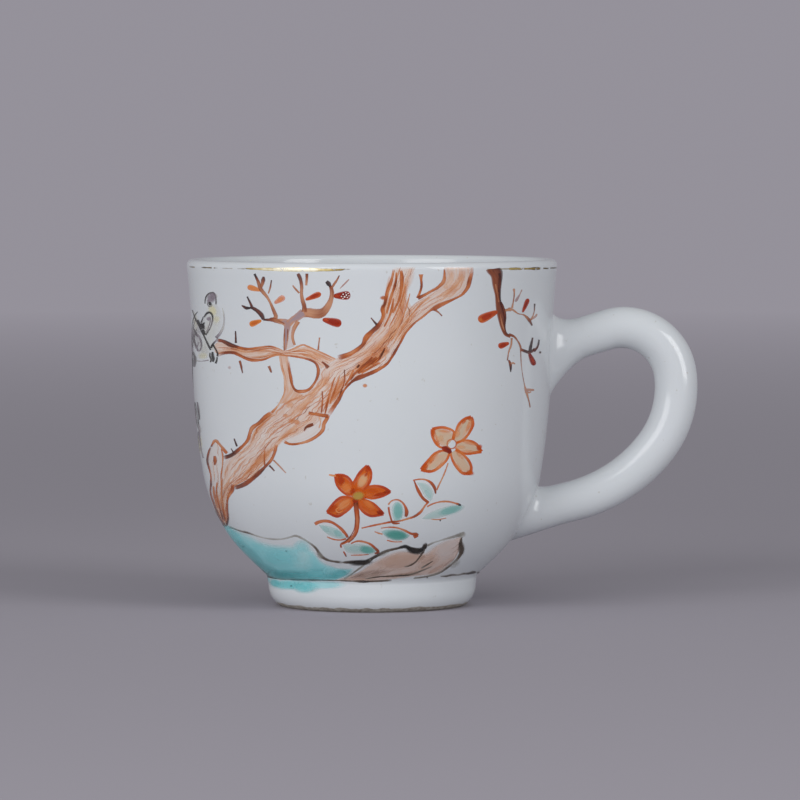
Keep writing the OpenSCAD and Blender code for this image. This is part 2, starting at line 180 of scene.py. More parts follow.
# How many lines each part of the outline has
PARTS = types.SimpleNamespace(
    recess=6, recess_side=3, edge=4, rest=3, foot=10, cone=4, belly=24, side=14, flare=12,
    lip=14, inner=44, floor_bend=8, floor=5,
)
# How far apart the corners stand under the crease between bowl and foot
CREASE_STEP = 0.4 * MM


def bend_radius(top, low):
    """Radius of the bend between two knots."""
    return (top[1] - low[1]) / (math.sin(low[2]) - math.sin(top[2]))


def knot_on(low, bend, z):
    """Knot at height z on the bend that starts at the knot low."""
    sine = math.sin(low[2]) - (z - low[1]) / bend
    sine = max(-1.0, min(1.0, sine))
    return (low[0] + bend * (math.sqrt(1 - sine * sine) - math.cos(low[2])), z, math.asin(sine))


def knot_below(top, z, lean):
    """Knot at height z with the given lean, on a bend that starts at the knot top."""
    bend = (top[1] - z) / (math.sin(lean) - math.sin(top[2]))
    return (top[0] + bend * (math.cos(lean) - math.cos(top[2])), z, lean)


def moved(knot, out):
    """A knot moved out from the wall."""
    return (knot[0] + out * math.cos(knot[2]), knot[1] - out * math.sin(knot[2]), knot[2])


class Wall:
    """Outline of the bowl, worked out from its sizes."""

    def __init__(self):
        self.sizes = sizes = settled("cup_bowl")
        self.lip_r = sizes.wall / 2
        lip = (sizes.rim_r - self.lip_r, sizes.height - self.lip_r, sizes.lip_lean)
        self.lip_middle = (lip[0], lip[1])
        self.lip = moved(lip, self.lip_r)
        self.waist = knot_below(self.lip, sizes.waist_z, sizes.waist_lean)
        self.side = knot_below(self.waist, sizes.side_z, sizes.side_lean)
        self.belly = knot_below(self.side, sizes.belly_z, sizes.belly_lean)
        run = (sizes.belly_z - sizes.foot_h) * math.tan(sizes.belly_lean)
        self.crease = (self.belly[0] - run, sizes.foot_h, sizes.belly_lean)
        drop = (sizes.foot_h - sizes.foot_round_z) * math.tan(sizes.foot_lean)
        self.foot_side = (self.crease[0] - drop, sizes.foot_round_z, sizes.foot_lean)
        turn = math.sin(sizes.foot_end_lean) - math.sin(sizes.foot_lean)
        self.foot_bend = sizes.foot_round_z / turn

    def knot(self, z):
        """Knot of the outside at height z."""
        sizes = self.sizes
        if z > self.lip[1]:
            lean = -math.asin(min(1.0, (z - self.lip_middle[1]) / self.lip_r))
            return moved((*self.lip_middle, lean), self.lip_r)
        if z > sizes.waist_z:
            return knot_on(self.waist, bend_radius(self.lip, self.waist), z)
        if z > sizes.side_z:
            return knot_on(self.side, bend_radius(self.waist, self.side), z)
        if z > sizes.belly_z:
            return knot_on(self.belly, bend_radius(self.side, self.belly), z)
        if z > sizes.foot_h:
            run = (z - sizes.foot_h) * math.tan(sizes.belly_lean)
            return (self.crease[0] + run, z, sizes.belly_lean)
        if z > sizes.foot_round_z:
            run = (sizes.foot_h - z) * math.tan(sizes.foot_lean)
            return (self.crease[0] - run, z, sizes.foot_lean)
        return knot_on(self.foot_side, self.foot_bend, max(z, 0.0))

    def point(self, round_by, z, lift):
        """Point at an angle from the front towards the handle, lift out from the wall."""
        r, height, _ = moved(self.knot(z), lift)
        return self.strayed(Vector((r * math.sin(round_by), -r * math.cos(round_by), height)))

    def strayed(self, point):
        """A point of the cup moved by the small unevenness of a hand-thrown wall."""
        sizes = self.sizes
        rise = max(0.0, point.z - sizes.foot_h) / sizes.height
        wave = noise.noise(Vector((point.x, point.y, point.z * WAVE_SQUEEZE)) * WAVES_PER_M)
        flat = Vector((point.x, point.y, 0.0))
        if flat.length > 0:
            flat.normalize()
        return point + flat * sizes.wobble * rise * (2 * wave - 1)

    def outline(self):
        """Half section from the middle of the underside over the lip to the middle inside."""
        sizes = self.sizes
        rest_in = self.knot(0.0)[0] - sizes.rest_w
        recess_r = rest_in - sizes.edge_r
        bend = sizes.recess_bend_r
        lines = [(0.0, sizes.recess_z)]
        lines += fillet((recess_r - bend, sizes.recess_z - bend), bend, 90, 0, PARTS.recess)
        drop, count = sizes.recess_z - bend - sizes.edge_r, PARTS.recess_side
        lines += [(recess_r, sizes.edge_r + drop * i / count) for i in range(count - 1, 0, -1)]
        lines += fillet((rest_in, sizes.edge_r), sizes.edge_r, 180, 270, PARTS.edge)
        lines += [(rest_in + sizes.rest_w * i / PARTS.rest, 0.0) for i in range(1, PARTS.rest)]
        foot_z = [sizes.foot_round_z * i / PARTS.foot for i in range(PARTS.foot + 1)]
        foot_z += [sizes.foot_h - CREASE_STEP * i for i in (2, 1, 0)]
        lines += [self.knot(z)[:2] for z in foot_z]
        for low, high, count in (
            (sizes.foot_h, sizes.belly_z, PARTS.cone),
            (sizes.belly_z, sizes.side_z, PARTS.belly),
            (sizes.side_z, sizes.waist_z, PARTS.side),
            (sizes.waist_z, self.lip[1], PARTS.flare),
        ):
            lines += [self.knot(z)[:2] for z in steps_between(low, high, count)]
        low = math.degrees(-sizes.lip_lean)
        lines += fillet(self.lip_middle, self.lip_r, low, 180 + low, PARTS.lip)[1:]
        inner = reversed(steps_between(sizes.belly_z, self.lip[1], PARTS.inner)[:-1])
        lines += [moved(self.knot(z), -sizes.wall)[:2] for z in inner]
        belly_in = moved(self.belly, -sizes.wall)
        bend, lean = sizes.floor_bend_r, sizes.belly_lean
        middle = (belly_in[0] - bend * math.cos(lean), belly_in[1] + bend * math.sin(lean))
        lines += fillet(middle, bend, -math.degrees(lean), -90, PARTS.floor_bend)
        floor_z, count = lines[-1][1], PARTS.floor
        lines += [(middle[0] * i / count, floor_z) for i in range(count - 1, -1, -1)]
        return lines


def steps_between(low, high, count):
    """Heights above low, up to high."""
    return [low + (high - low) * i / count for i in range(1, count + 1)]


def fillet(middle, radius, start, end, count):
    """Points of an arc in the half section, angles in degrees from the outward direction."""
    turns = [math.radians(start + (end - start) * i / count) for i in range(count + 1)]
    return [(middle[0] + radius * math.cos(t), middle[1] + radius * math.sin(t)) for t in turns]


# The view of the photograph, by which the painting is placed


class PhotoView:
    """The photograph's camera, which finds the place on the wall that shows at a pixel."""

    ROUNDS = 7

    def __init__(self, wall):
        stage = settled("cup_stage")
        self.wall = wall
        self.eye = Vector(stage.eye)
        self.focal_px = stage.focal_px
        self.sine, self.cosine = math.sin(stage.pitch), math.cos(stage.pitch)

    def ray(self, px, py):
        """Direction of the view through a pixel."""
        half = PICTURE_PX / 2
        across = (px - half) / self.focal_px
        up = (half - py) / self.focal_px
        return Vector((across, self.cosine + up * self.sine, up * self.cosine - self.sine))

    def spot(self, px, py):
        """Angle from the front towards the handle, and height, of the place seen at a pixel."""
        eye, ray = self.eye, self.ray(px, py)
        a = ray.x * ray.x + ray.y * ray.y
        b = eye.x * ray.x + eye.y * ray.y
        z = eye.z - ray.z / ray.y * eye.y
        for _ in range(self.ROUNDS):
            r = self.wall.knot(z)[0]
            c = eye.x * eye.x + eye.y * eye.y - r * r
            along = (-b - math.sqrt(max(0.0, b * b - a * c))) / a
            seen = eye + ray * along
            z = seen.z
        return math.atan2(seen.x, -seen.y), z


# Modelling helpers


def finished(name, mesh_maker, material, replaces):
    """Makes the object of a finished bmesh, which rides on the cup and stands for CAD nodes."""
    mesh = bpy.data.meshes.new(name)
    mesh_maker.to_mesh(mesh)
    mesh_maker.free()
    mesh.shade_smooth()
    piece = bpy.data.objects.new(name, mesh)
    bpy.context.scene.collection.objects.link(piece)
    mesh.materials.append(material)
    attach(piece, BODY)
    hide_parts(*replaces)
    return piece


# Materials


def link_or_set(tree, node, inputs):
    """Links each input of a node that is given a socket, and sets the others."""
    for name, value in inputs.items():
        socket = node.inputs[name]
        if isinstance(value, bpy.types.NodeSocket):
            tree.links.new(value, socket)
        else:
            socket.default_value = value


def add(tree, kind, inputs=None, **settings):
    """Adds a shader node with its settings, inputs set or linked."""
    node = tree.nodes.new("ShaderNode" + kind)
    for name, value in settings.items():
        setattr(node, name, value)
    link_or_set(tree, node, inputs or {})
    return node


def maths(tree, operation, *values, clamp=False):
    """The outcome of a sum with two or three values or sockets."""
    inputs = dict(enumerate(values))
    return add(tree, "Math", inputs, operation=operation, use_clamp=clamp).outputs[0]


def noisy(tree, place, scale, detail=2.0, roughness=0.5):
    """The grey of a noise pattern over the places given."""
    inputs = {"Vector": place, "Scale": scale, "Detail": detail, "Roughness": roughness}
    return add(tree, "TexNoise", inputs).outputs[0]


def mixed(tree, amount, first, second):
    """A colour between two, at a share of the way."""
    node = add(tree, "Mix", data_type="RGBA")
    link_or_set(tree, node, {0: amount, 6: first, 7: second})
    return node.outputs[2]


def rgba(value):
    """A full colour from three channels."""
    return (*value, 1.0)


def new_material(name):
    """A node material that holds only its shader and output."""
    material = bpy.data.materials.new(name)
    material.use_nodes = True
    tree = material.node_tree
    tree.nodes.clear()
    shader = add(tree, "BsdfPrincipled")
    add(tree, "OutputMaterial", {"Surface": shader.outputs[0]})
    return material, tree, shader


def ramp(tree, value, *stops):
    """A colour ramp of (place, grey or colour) stops."""
    node = add(tree, "ValToRGB", {0: value})
    elements = node.color_ramp.elements
    while len(elements) < len(stops):
        elements.new(0.5)
    for element, (place, tone) in zip(elements, stops):
        element.position = place
        element.color = rgba(tone) if isinstance(tone, tuple) else (tone, tone, tone, 1.0)
    return node.outputs[0]


# How much the specks cover, how ragged the glaze ends at the foot, and how rough it all is
SPECK_COVER = 0.5
RAGGED = 1.0 * MM
GLAZE_ROUGH = 0.14
CLAY_ROUGH = 0.74


def porcelain_material():
    """White porcelain under a speckled glaze, with the bare and dirty edge of the foot."""
    glaze = bpy.context.scene.cup_glaze
    material, tree, shader = new_material("porcelain_glaze")
    place = add(tree, "TexCoord").outputs["Object"]
    cloud = noisy(tree, place, scale=45.0, detail=3.0)
    body = mixed(tree, cloud, rgba(glaze.white), rgba(glaze.cool))
    specks = ramp(tree, noisy(tree, place, scale=900.0), (0.72, 0.0), (0.76, 1.0))
    specked = mixed(tree, maths(tree, "MULTIPLY", specks, SPECK_COVER), body, rgba(glaze.clay))
    height = add(tree, "SeparateXYZ", {0: place}).outputs[2]
    ragged = noisy(tree, place, scale=400.0, detail=4.0)
    edge = maths(tree, "MULTIPLY_ADD", ragged, RAGGED, glaze.bare_z - RAGGED / 2)
    bare = maths(tree, "LESS_THAN", height, edge)
    mottled = ramp(tree, noisy(tree, place, scale=1400.0), (0.25, 0.0), (0.75, 1.0))
    dirty = mixed(tree, mottled, rgba(glaze.clay), rgba(glaze.dirt))
    waves = noisy(tree, place, scale=160.0)
    bump = add(tree, "Bump", {"Height": waves, "Strength": 0.08, "Distance": 0.3 * MM})
    link_or_set(tree, shader, {
        "Base Color": mixed(tree, bare, specked, dirty),
        "Roughness": maths(tree, "MULTIPLY_ADD", bare, CLAY_ROUGH - GLAZE_ROUGH, GLAZE_ROUGH),
        "Normal": bump.outputs[0],
        "Subsurface Weight": 0.12,
        "Subsurface Radius": (1.0, 0.9, 0.8),
        "Subsurface Scale": 1.2 * MM,
    })
    return material


def shared(name, maker):
    """The material of that name, made the first time that it is asked for."""
    return bpy.data.materials.get(name) or maker()


# Corners of the turned outline that are as close as this are one
SAME_PLACE = 0.001 * MM


def throw_bowl():
    """Spins the bowl's half section round the axis."""
    wall = Wall()
    bm = bmesh.new()
    corners = [bm.verts.new((r, 0.0, z)) for r, z in wall.outline()]
    edges = [bm.edges.new(pair) for pair in zip(corners, corners[1:])]
    bmesh.ops.spin(
        bm, geom=corners + edges, cent=(0, 0, 0), axis=(0, 0, 1), angle=math.tau,
        steps=wall.sizes.steps, use_merge=True, use_normal_flip=False, use_duplicate=False,
        space=Matrix()
    )
    bmesh.ops.remove_doubles(bm, verts=bm.verts, dist=SAME_PLACE)
    bmesh.ops.recalc_face_normals(bm, faces=bm.faces)
    for vert in bm.verts:
        vert.co = wall.strayed(vert.co)
    glaze = shared("porcelain_glaze", porcelain_material)
    return finished("glazed_bowl", bm, glaze, ["bowl"])


# The rod bends by this much from ring to ring, and this shapes how it thickens to its middle
RING_TURN = math.radians(3)
SWELL_POWER = 2 / 3
# Rounds that it takes to find where the rod's lower end meets the wall
ROOT_ROUNDS = 12
# Rings of a slip joint, how far its edge goes into the wall, and how closely it hugs the wall
FLARE_RINGS = 14
INTO_WALL = 0.05 * MM
WALL_PULL = 3


class Rod:
    """Middle line of the handle in the plane y = 0, as rings of (point, heading, radius)."""

    def __init__(self, sizes, wall):
        self.sizes = sizes
        self.wall = wall
        self.top_root = Vector((wall.knot(sizes.top_z)[0], sizes.top_z))
        end = self.top_root + sizes.top_run * heading_vector(sizes.rise)
        turns = [
            (sizes.rise, sizes.back_heading, sizes.top_bend),
            (sizes.back_heading, sizes.low_heading, sizes.back_bend),
            (sizes.low_heading, sizes.end_heading, sizes.low_bend),
        ]
        self.rings = []
        for start, stop, bend in turns:
            count = math.ceil((start - stop) / RING_TURN)
            for i in range(1, count + 1):
                heading = start + (stop - start) * i / count
                self.rings.append((bent(end, start, heading, bend), heading))
            end = bent(end, start, stop, bend)
        self.low_root = end
        for _ in range(ROOT_ROUNDS):
            gap = self.low_root.x - wall.knot(self.low_root.y)[0]
            self.low_root = self.low_root + gap * heading_vector(sizes.end_heading)

    def radius(self, heading):
        """Half the thickness of the rod where it has the given heading."""
        sizes = self.sizes
        part = (sizes.rise - heading) / (sizes.rise - sizes.end_heading)
        swell = math.sin(math.pi * min(1.0, max(0.0, part))) ** SWELL_POWER
        return (sizes.end_thickness + (sizes.thickness - sizes.end_thickness) * swell) / 2


def heading_vector(heading):
    """Direction in the handle's plane, as (out, up)."""
    return Vector((math.cos(heading), math.sin(heading)))


def bent(point, start, stop, bend):
    """Where a bend that starts at a point with one heading comes to another."""
    return point + bend * Vector(
        (math.sin(start) - math.sin(stop), math.cos(stop) - math.cos(start))
    )


# How far the slip spreads over the wall, as (up, down, side) of each end, in millimetres
TOP_SPREAD = (5.0, 5.5, 2.4)
LOW_SPREAD = (2.6, 1.0, 2.0)


def pull_handle():
    """Draws a ring along the handle's middle line, flared where the slip joins it to the wall."""
    sizes = settled("cup_handle")
    rod = Rod(sizes, Wall())
    turns = [math.radians(90 * i / FLARE_RINGS) for i in range(FLARE_RINGS + 1)]
    rings = [flared_ring(rod, rod.top_root, sizes.rise, TOP_SPREAD, turn, True) for turn in turns]
    rings += [plain_ring(*ring, rod.radius(ring[1]), sizes.sides) for ring in rod.rings]
    back = sizes.end_heading + math.pi
    for turn in reversed(turns):
        rings.append(flared_ring(rod, rod.low_root, back, LOW_SPREAD, turn, False))
    bm = bmesh.new()
    made = bmesh.ops.create_circle(bm, cap_ends=False, segments=sizes.sides, radius=1.0)["verts"]
    ring = list(made)
    for vert, place in zip(ring, rings[0]):
        vert.co = place
    for places in rings[1:]:
        grown = bmesh.ops.extrude_edge_only(bm, edges=loop_edges(ring))["geom"]
        fresh = {v for v in grown if isinstance(v, bmesh.types.BMVert)}
        ring = [
            next(e.other_vert(v) for e in v.link_edges if e.other_vert(v) in fresh) for v in ring
        ]
        for vert, place in zip(ring, places):
            vert.co = place
    bmesh.ops.recalc_face_normals(bm, faces=bm.faces)
    glaze = shared("porcelain_glaze", porcelain_material)
    joints = ["upper_slip_joint", "lower_slip_joint"]
    return finished("glazed_handle", bm, glaze, ["handle", *joints])


def loop_edges(ring):
    """Edges between neighbours of a closed ring of vertices."""
    pairs = zip(ring, ring[1:] + ring[:1])
    return [next(e for e in a.link_edges if e.other_vert(a) is b) for a, b in pairs]


def ring_point(point, heading, up, down, side, turn):
    """Point of a ring, a turn round from the side that faces up from the heading."""
    lift = math.cos(turn) * (up if math.cos(turn) > 0 else down)
    out, rise = point[0] - lift * math.sin(heading), point[1] + lift * math.cos(heading)
    return Vector((out, side * math.sin(turn), rise))


def plain_ring(point, heading, radius, sides):
    """A round ring of the bare rod."""
    turns = [math.tau * j / sides for j in range(sides)]
    return [ring_point(point, heading, radius, radius, radius, t) for t in turns]


def flared_ring(rod, root, heading, spread, turn, outwards):
    """A ring of the slip joint: turn 0 lies on the wall, and a quarter turn on is the bare rod."""
    sizes = rod.sizes
    swell = 1 - math.sin(turn)
    run = sizes.reach * (1 - math.cos(turn))
    radius = sizes.end_thickness / 2
    tilt = -rod.wall.knot(root[1])[2] - heading
    lean = heading + tilt * swell
    along = radius / math.cos(tilt * swell)
    point = root + run * heading_vector(heading)
    up, down, side = (part * MM * swell for part in spread)
    places = []
    for j in range(sizes.sides):
        a = math.tau * j / sizes.sides
        if not outwards:
            a = math.pi - a
        place = ring_point(point, lean, along + up, along + down, radius + side, a)
        if swell > 0:
            knot_r = rod.wall.knot(place.z)[0]
            on_wall = math.sqrt(max(0.0, knot_r**2 - place.y**2)) - INTO_WALL
            place.x += (swell**WALL_PULL) * (on_wall - place.x)
        places.append(place)
    return places


# Painting. Places are pixels of the photograph, read off one by one, and a brush line is a list of
# (x, y, width). A tone of 0 is the palest of a colour and 1 the darkest, and a cover of 1 hides
# the glaze.

PX_MM = 0.179
LINE_STEP = 1.3
THINNEST = 0.3
# How far a line swells and darkens along its way, in waves of (part, pace, shift)
UNSTEADY = 0.3
WAVERS = ((0.6, 0.5, 1), (0.4, 1.7, 3))
UNEVEN = 0.07
TONE_PACE = 0.33
SOFT_SIDES = (0.45, 0.45)
WIDE_LINE = 4.0
BLOT_STEPS = 10
SEED_REACH = 50.0
# A drop as (share of its length, half width as a share of its width)
DROP = (
    (0, 0.1), (0.03, 0.18), (0.13, 0.28), (0.35, 0.39), (0.6, 0.48), (0.8, 0.49), (0.91, 0.41),
    (0.975, 0.24), (1, 0.06),
)
# Paint goes down just under the glaze, and sheets of it lie a layer apart
SUNK = 0.02 * MM
LAYER = 0.003 * MM
LAYERS = 6
# Corners of the paint that turn by more than this stay sharp
SHARP = math.radians(50)
# Streaks: their steps along a limb, where they start, how far they drift and wander across it,
# the band that they keep to, and the part of a half wave in which they swell and taper
STREAK_STEP = 3.0
STREAK_STARTS = (-0.05, 0.95)
DRIFT = 0.12
WANDER, WANDER_PACE, WANDER_SHIFT = 0.02, 1.7, 9
STREAK_BAND = (0.03, 0.97)
TAPER, TAPER_RUN = 0.08, 0.84


def share_of(part, whole):
    """How far part has come to whole, from 0 to 1 and always 1 for a whole of nothing."""
    return 1.0 if whole <= 0 else min(1.0, part / whole)


def smooth(points, step, apart):
    """A smooth line through points, in steps of about the given length as apart measures it."""
    padded = [points[0], *points, points[-1]]
    line = [points[0]]
    for before, here, there, after in zip(padded, padded[1:], padded[2:], padded[3:]):
        count = max(1, math.ceil(apart(here, there) / step))
        for i in range(1, count + 1):
            line.append(spline_point(before, here, there, after, i / count))
    return line


def spline(points, step):
    """Points of a smooth line through the given ones, about a step apart."""
    points = [tuple(float(n) for n in p) for p in points]
    return smooth(points, step, lambda a, b: math.dist(a[:2], b[:2]))


def spline_point(before, here, there, after, t):
    """A point of a Catmull-Rom curve between here and there."""
    return tuple(
        0.5 * (
            2 * b + (c - a) * t + (2 * a - 5 * b + 4 * c - d) * t**2
            + (3 * b - a - 3 * c + d) * t**3
        )
        for a, b, c, d in zip(before, here, there, after)
    )


def rails(one, other, step):
    """Two smooth lines with the same number of points, from as many hand-chosen ones each."""
    pairs = [(*a[:2], *b[:2]) for a, b in zip(one, other)]
    line = smooth(pairs, step, lambda a, b: max(math.dist(a[:2], b[:2]), math.dist(a[2:], b[2:])))
    return [p[:2] for p in line], [p[2:] for p in line]


def between(one, other, part):
    """The line at a share of the way between two sides."""
    return [(a[0] + (b[0] - a[0]) * part, a[1] + (b[1] - a[1]) * part) for a, b in zip(one, other)]


class Painting:
    """Paint laid on the wall in one colour, stroke by stroke."""

    def __init__(self, lift, seed=1):
        self.wall = Wall()
        self.view = PhotoView(self.wall)
        self.lift = lift
        self.bm = bmesh.new()
        self.brush = self.bm.verts.layers.float_vector.new("brush")
        self.paint = self.bm.verts.layers.float_vector.new("paint")
        self.under = self.bm.verts.layers.float_vector.new("under")
        self.count = 0
        self.hand = random.Random(seed)
        self.turn = 0.0
        self.mirror = False

    def move_to(self, place):
        """Turns the brush to a place round the cup, as (angle, whether it paints mirrored)."""
        self.turn, self.mirror = place

    def start_sheet(self, along, across):
        """A fresh grid over the last ones, as (vertex, share along, share across)."""
        self.count += 1
        self.seed = self.hand.random() * SEED_REACH
        made = bmesh.ops.create_grid(self.bm, x_segments=along, y_segments=across, size=0.5)
        return [(vert, vert.co.x + 0.5, vert.co.y + 0.5) for vert in made["verts"]]

    def lay(self, vert, px, py, rise, brushed, tone, cover, pool):
        """Puts a vertex on the wall at a pixel, with the look of the paint there."""
        round_by, z = self.view.spot(px, py)
        round_by = self.turn - round_by if self.mirror else self.turn + round_by
        lift = self.lift + LAYER * (self.count % LAYERS)
        vert.co = self.wall.point(round_by, z, lift + rise)
        vert[self.under] = self.wall.point(round_by, z, -SUNK)
        vert[self.brush] = Vector((*brushed, self.seed))
        vert[self.paint] = Vector((tone, cover, pool))

    def sheet(
        self, one, other, across, looks, dome=0.0, fade=0.0, soft=(0.0, 0.0), lean=(0.0, 0.0)
    ):
        """Fills between two dense lines of pixels, with a look of (tone, cover) at each step."""
        last = len(one) - 1
        run = [0.0]
        for a, b in zip(one, one[1:]):
            run.append(run[-1] + math.dist(a, b) * PX_MM)
        for vert, u, v in self.start_sheet(last, across):
            i = round(u * last)
            a, b = one[i], other[i]
            px, py = a[0] + (b[0] - a[0]) * v, a[1] + (b[1] - a[1]) * v
            tone, cover = looks[i]
            tone += lean[0] + (lean[1] - lean[0]) * v
            kept = share_of(min(u, 1 - u), fade) * share_of(v, soft[0]) * share_of(1 - v, soft[1])
            cover *= kept
            pool = 1 - abs(2 * v - 1)
            swell = dome * math.sin(math.pi / 2 * pool) * math.sin(math.pi * u) ** 0.5
            brushed = (run[i], math.dist(a, b) * PX_MM * v)
            self.lay(vert, px, py, swell, brushed, tone, cover, pool)

    def rise_over(self, thickness=0.0):
        """Lifts the brush over all that is painted, however thick it was laid on."""
        self.lift += thickness
        self.lift += (LAYERS + 1) * LAYER

    def line(self, points, tone=0.5, cover=1.0, **looks):
        """A brush line through (x, y, width), each with a tone and a cover of its own if given."""
        line = spline([(*p, *(tone, cover)[len(p) - 3:]) for p in points], LINE_STEP)
        beat = self.hand.uniform(0, math.tau)
        one, other = [], []
        for i, (x, y, width, _, _) in enumerate(line):
            swell = sum(part * math.sin(pace * i + shift * beat) for part, pace, shift in WAVERS)
            width *= 1 + UNSTEADY * swell / max(1.0, width)
            ahead, behind = line[min(i + 1, len(line) - 1)], line[max(i - 1, 0)]
            dx, dy = ahead[0] - behind[0], ahead[1] - behind[1]
            run = math.hypot(dx, dy) or 1.0
            off = max(width, THINNEST) / 2
            one.append((x - dy / run * off, y + dx / run * off))
            other.append((x + dy / run * off, y - dx / run * off))
        wide = max(p[2] for p in line) > WIDE_LINE
        tones = [p[3] + UNEVEN * math.sin(TONE_PACE * i + 2 * beat) for i, p in enumerate(line)]
        looks_on = [(t, p[4]) for t, p in zip(tones, line)]
        self.sheet(one, other, 4 if wide else 2, looks_on, **looks)

    def lines(self, strokes, cover=1.0, **looks):
        """Several brush lines, each (tone, points)."""
        for tone, points in strokes:
            self.line(points, tone, cover, **looks)

    def patch(self, one, other, tone, cover=1.0, across=8, step=2.0, **looks):
        """A filled shape between two sides of as many points each."""
        left, right = rails(one, other, step)
        self.sheet(left, right, across, [(tone, cover)] * len(left), **looks)

    def blot(self, x, y, wide, high, tone, cover=1.0, lean=0.0):
        """A soft oval touch that fades out to its edge, leaning by an angle in degrees."""
        cosine, sine = math.cos(math.radians(lean)), math.sin(math.radians(lean))
        for vert, u, v in self.start_sheet(BLOT_STEPS, BLOT_STEPS):
            a, b = 2 * u - 1, 2 * v - 1
            a, b = a * math.sqrt(1 - b * b / 2), b * math.sqrt(1 - a * a / 2)
            height = max(0.0, 1 - a * a - b * b)
            height = height * height * (3 - 2 * height)
            dx, dy = a * wide / 2, b * high / 2
            px, py = x + dx * cosine - dy * sine, y + dx * sine + dy * cosine
            self.lay(vert, px, py, 0.0, (dx * PX_MM, dy * PX_MM), tone, cover * height, 1.0)

    def blots(self, spots):
        """Several soft touches, each as blot takes it."""
        for spot in spots:
            self.blot(*spot)

    def dab(self, base_x, base_y, tip_x, tip_y, width, tone, cover=1.0, dome=0.0):
        """A drop-shaped touch of the brush, round at its tip."""
        run = Vector((tip_x - base_x, tip_y - base_y))
        side = Vector((-run.y, run.x)).normalized() * width
        base = Vector((base_x, base_y))
        one = [tuple(base + run * s + side * w) for s, w in DROP]
        other = [tuple(base + run * s - side * w) for s, w in DROP]
        self.patch(one, other, tone, cover, across=6, dome=dome, step=1.2)

    def dot(self, x, y, size, tone, cover=1.0):
        """A small round touch."""
        self.dab(x - size / 2, y, x + size / 2, y, size, tone, cover)

    def streaks(self, one, other, count, widths, tones, covers, reach, band=(0.06, 0.94)):
        """Thin lines that follow a limb between its two sides."""
        left, right = rails(one, other, STREAK_STEP)
        last = len(left) - 1
        for _ in range(count):
            v = self.hand.uniform(*band)
            start = self.hand.uniform(*STREAK_STARTS)
            stop = start + self.hand.uniform(*reach)
            first, final = max(0, round(start * last)), min(last, round(stop * last))
            if final - first < 2:
                continue
            drift = self.hand.uniform(-DRIFT, DRIFT)
            width = self.hand.uniform(*widths)
            points = []
            for i in range(first, final + 1, 2):
                part = (i - first) / (final - first)
                w = v + drift * part + WANDER * math.sin(i * WANDER_PACE + v * WANDER_SHIFT)
                w = min(STREAK_BAND[1], max(STREAK_BAND[0], w))
                a, b = left[i], right[i]
                swell = math.sin(math.pi * (TAPER + TAPER_RUN * part))
                place = (a[0] + (b[0] - a[0]) * w, a[1] + (b[1] - a[1]) * w)
                points.append((*place, width * swell))
            if len(points) > 1:
                self.line(points, self.hand.uniform(*tones), self.hand.uniform(*covers), fade=0.15)

    def finish(self, name, node, material):
        """Closes each sheet down to just under the glaze and makes the piece for a CAD node."""
        made = bmesh.ops.extrude_face_region(self.bm, geom=self.bm.faces[:], use_keep_orig=True)
        for vert in made["geom"]:
            if isinstance(vert, bmesh.types.BMVert):
                vert.co = vert[self.under]
        self.bm.verts.layers.float_vector.remove(self.under)
        bmesh.ops.recalc_face_normals(self.bm, faces=self.bm.faces)
        piece = finished(name, self.bm, material, [node])
        piece.data.set_sharp_from_angle(angle=SHARP)
        # A film of paint is clear where it is thin, so it takes no light from what lies under it
        piece.visible_shadow = False
        piece.visible_diffuse = False


# How brush hairs stretch along and across a stroke, the share of its width over which paint
# thins out to the edge, and how much cover the edge keeps
HAIR_SCALE = (0.22, 2.4, 1.0)
SOFT_EDGE = 0.35
EDGE_COVER = 0.35


def enamel_material(name, stops, streak=0.5, opacity=0.9, pooling=0.15, gloss=0.2, grain=0.15):
    """Fired paint: its tone, cover and pooled edges come from the brush that laid it."""
    material, tree, shader = new_material(name)
    brush = add(tree, "Attribute", attribute_name="brush").outputs["Vector"]
    paint = add(tree, "Attribute", attribute_name="paint").outputs["Vector"]
    tone, cover, pool = add(tree, "SeparateXYZ", {0: paint}).outputs
    drawn = add(tree, "Mapping", {"Vector": brush, "Scale": HAIR_SCALE}).outputs[0]
    hairs = noisy(tree, drawn, scale=1.0, detail=4.0, roughness=0.6)
    cloud = noisy(tree, add(tree, "TexCoord").outputs["Object"], scale=420.0, detail=3.0)
    hairs_off = maths(tree, "MULTIPLY", maths(tree, "SUBTRACT", hairs, 0.5), streak * 2)
    cloud_off = maths(tree, "MULTIPLY", maths(tree, "SUBTRACT", cloud, 0.5), grain * 2)
    edge = maths(tree, "POWER", maths(tree, "SUBTRACT", 1.0, pool, clamp=True), 2.0)
    pooled = maths(tree, "MULTIPLY", edge, pooling)
    level = maths(tree, "ADD", tone, pooled)
    level = maths(tree, "ADD", level, hairs_off)
    level = maths(tree, "ADD", level, cloud_off)
    soft = add(tree, "MapRange", {
        "Value": pool, "From Min": 0.0, "From Max": SOFT_EDGE, "To Min": EDGE_COVER
    }).outputs[0]
    thin = maths(tree, "ADD", opacity, maths(tree, "MULTIPLY", hairs_off, 0.9))
    thin = maths(tree, "ADD", thin, pooled, clamp=True)
    film = maths(tree, "MULTIPLY", maths(tree, "MULTIPLY", thin, cover), soft, clamp=True)
    # Light goes through the film twice
    passed = maths(tree, "POWER", maths(tree, "SUBTRACT", 1.0, film), 2.0)
    bump = add(tree, "Bump", {"Height": hairs, "Strength": 0.25, "Distance": 0.02 * MM})
    link_or_set(tree, shader, {
        "Base Color": ramp(tree, level, *stops),
        "Alpha": maths(tree, "SUBTRACT", 1.0, passed),
        "Roughness": gloss,
        "Normal": bump.outputs[0],
    })
    return material


def srgb(red, green, blue):
    """A shader colour from the 0 to 255 values of a picture."""
    return tuple(((c / 255 + 0.055) / 1.055) ** 2.4 for c in (red, green, blue))


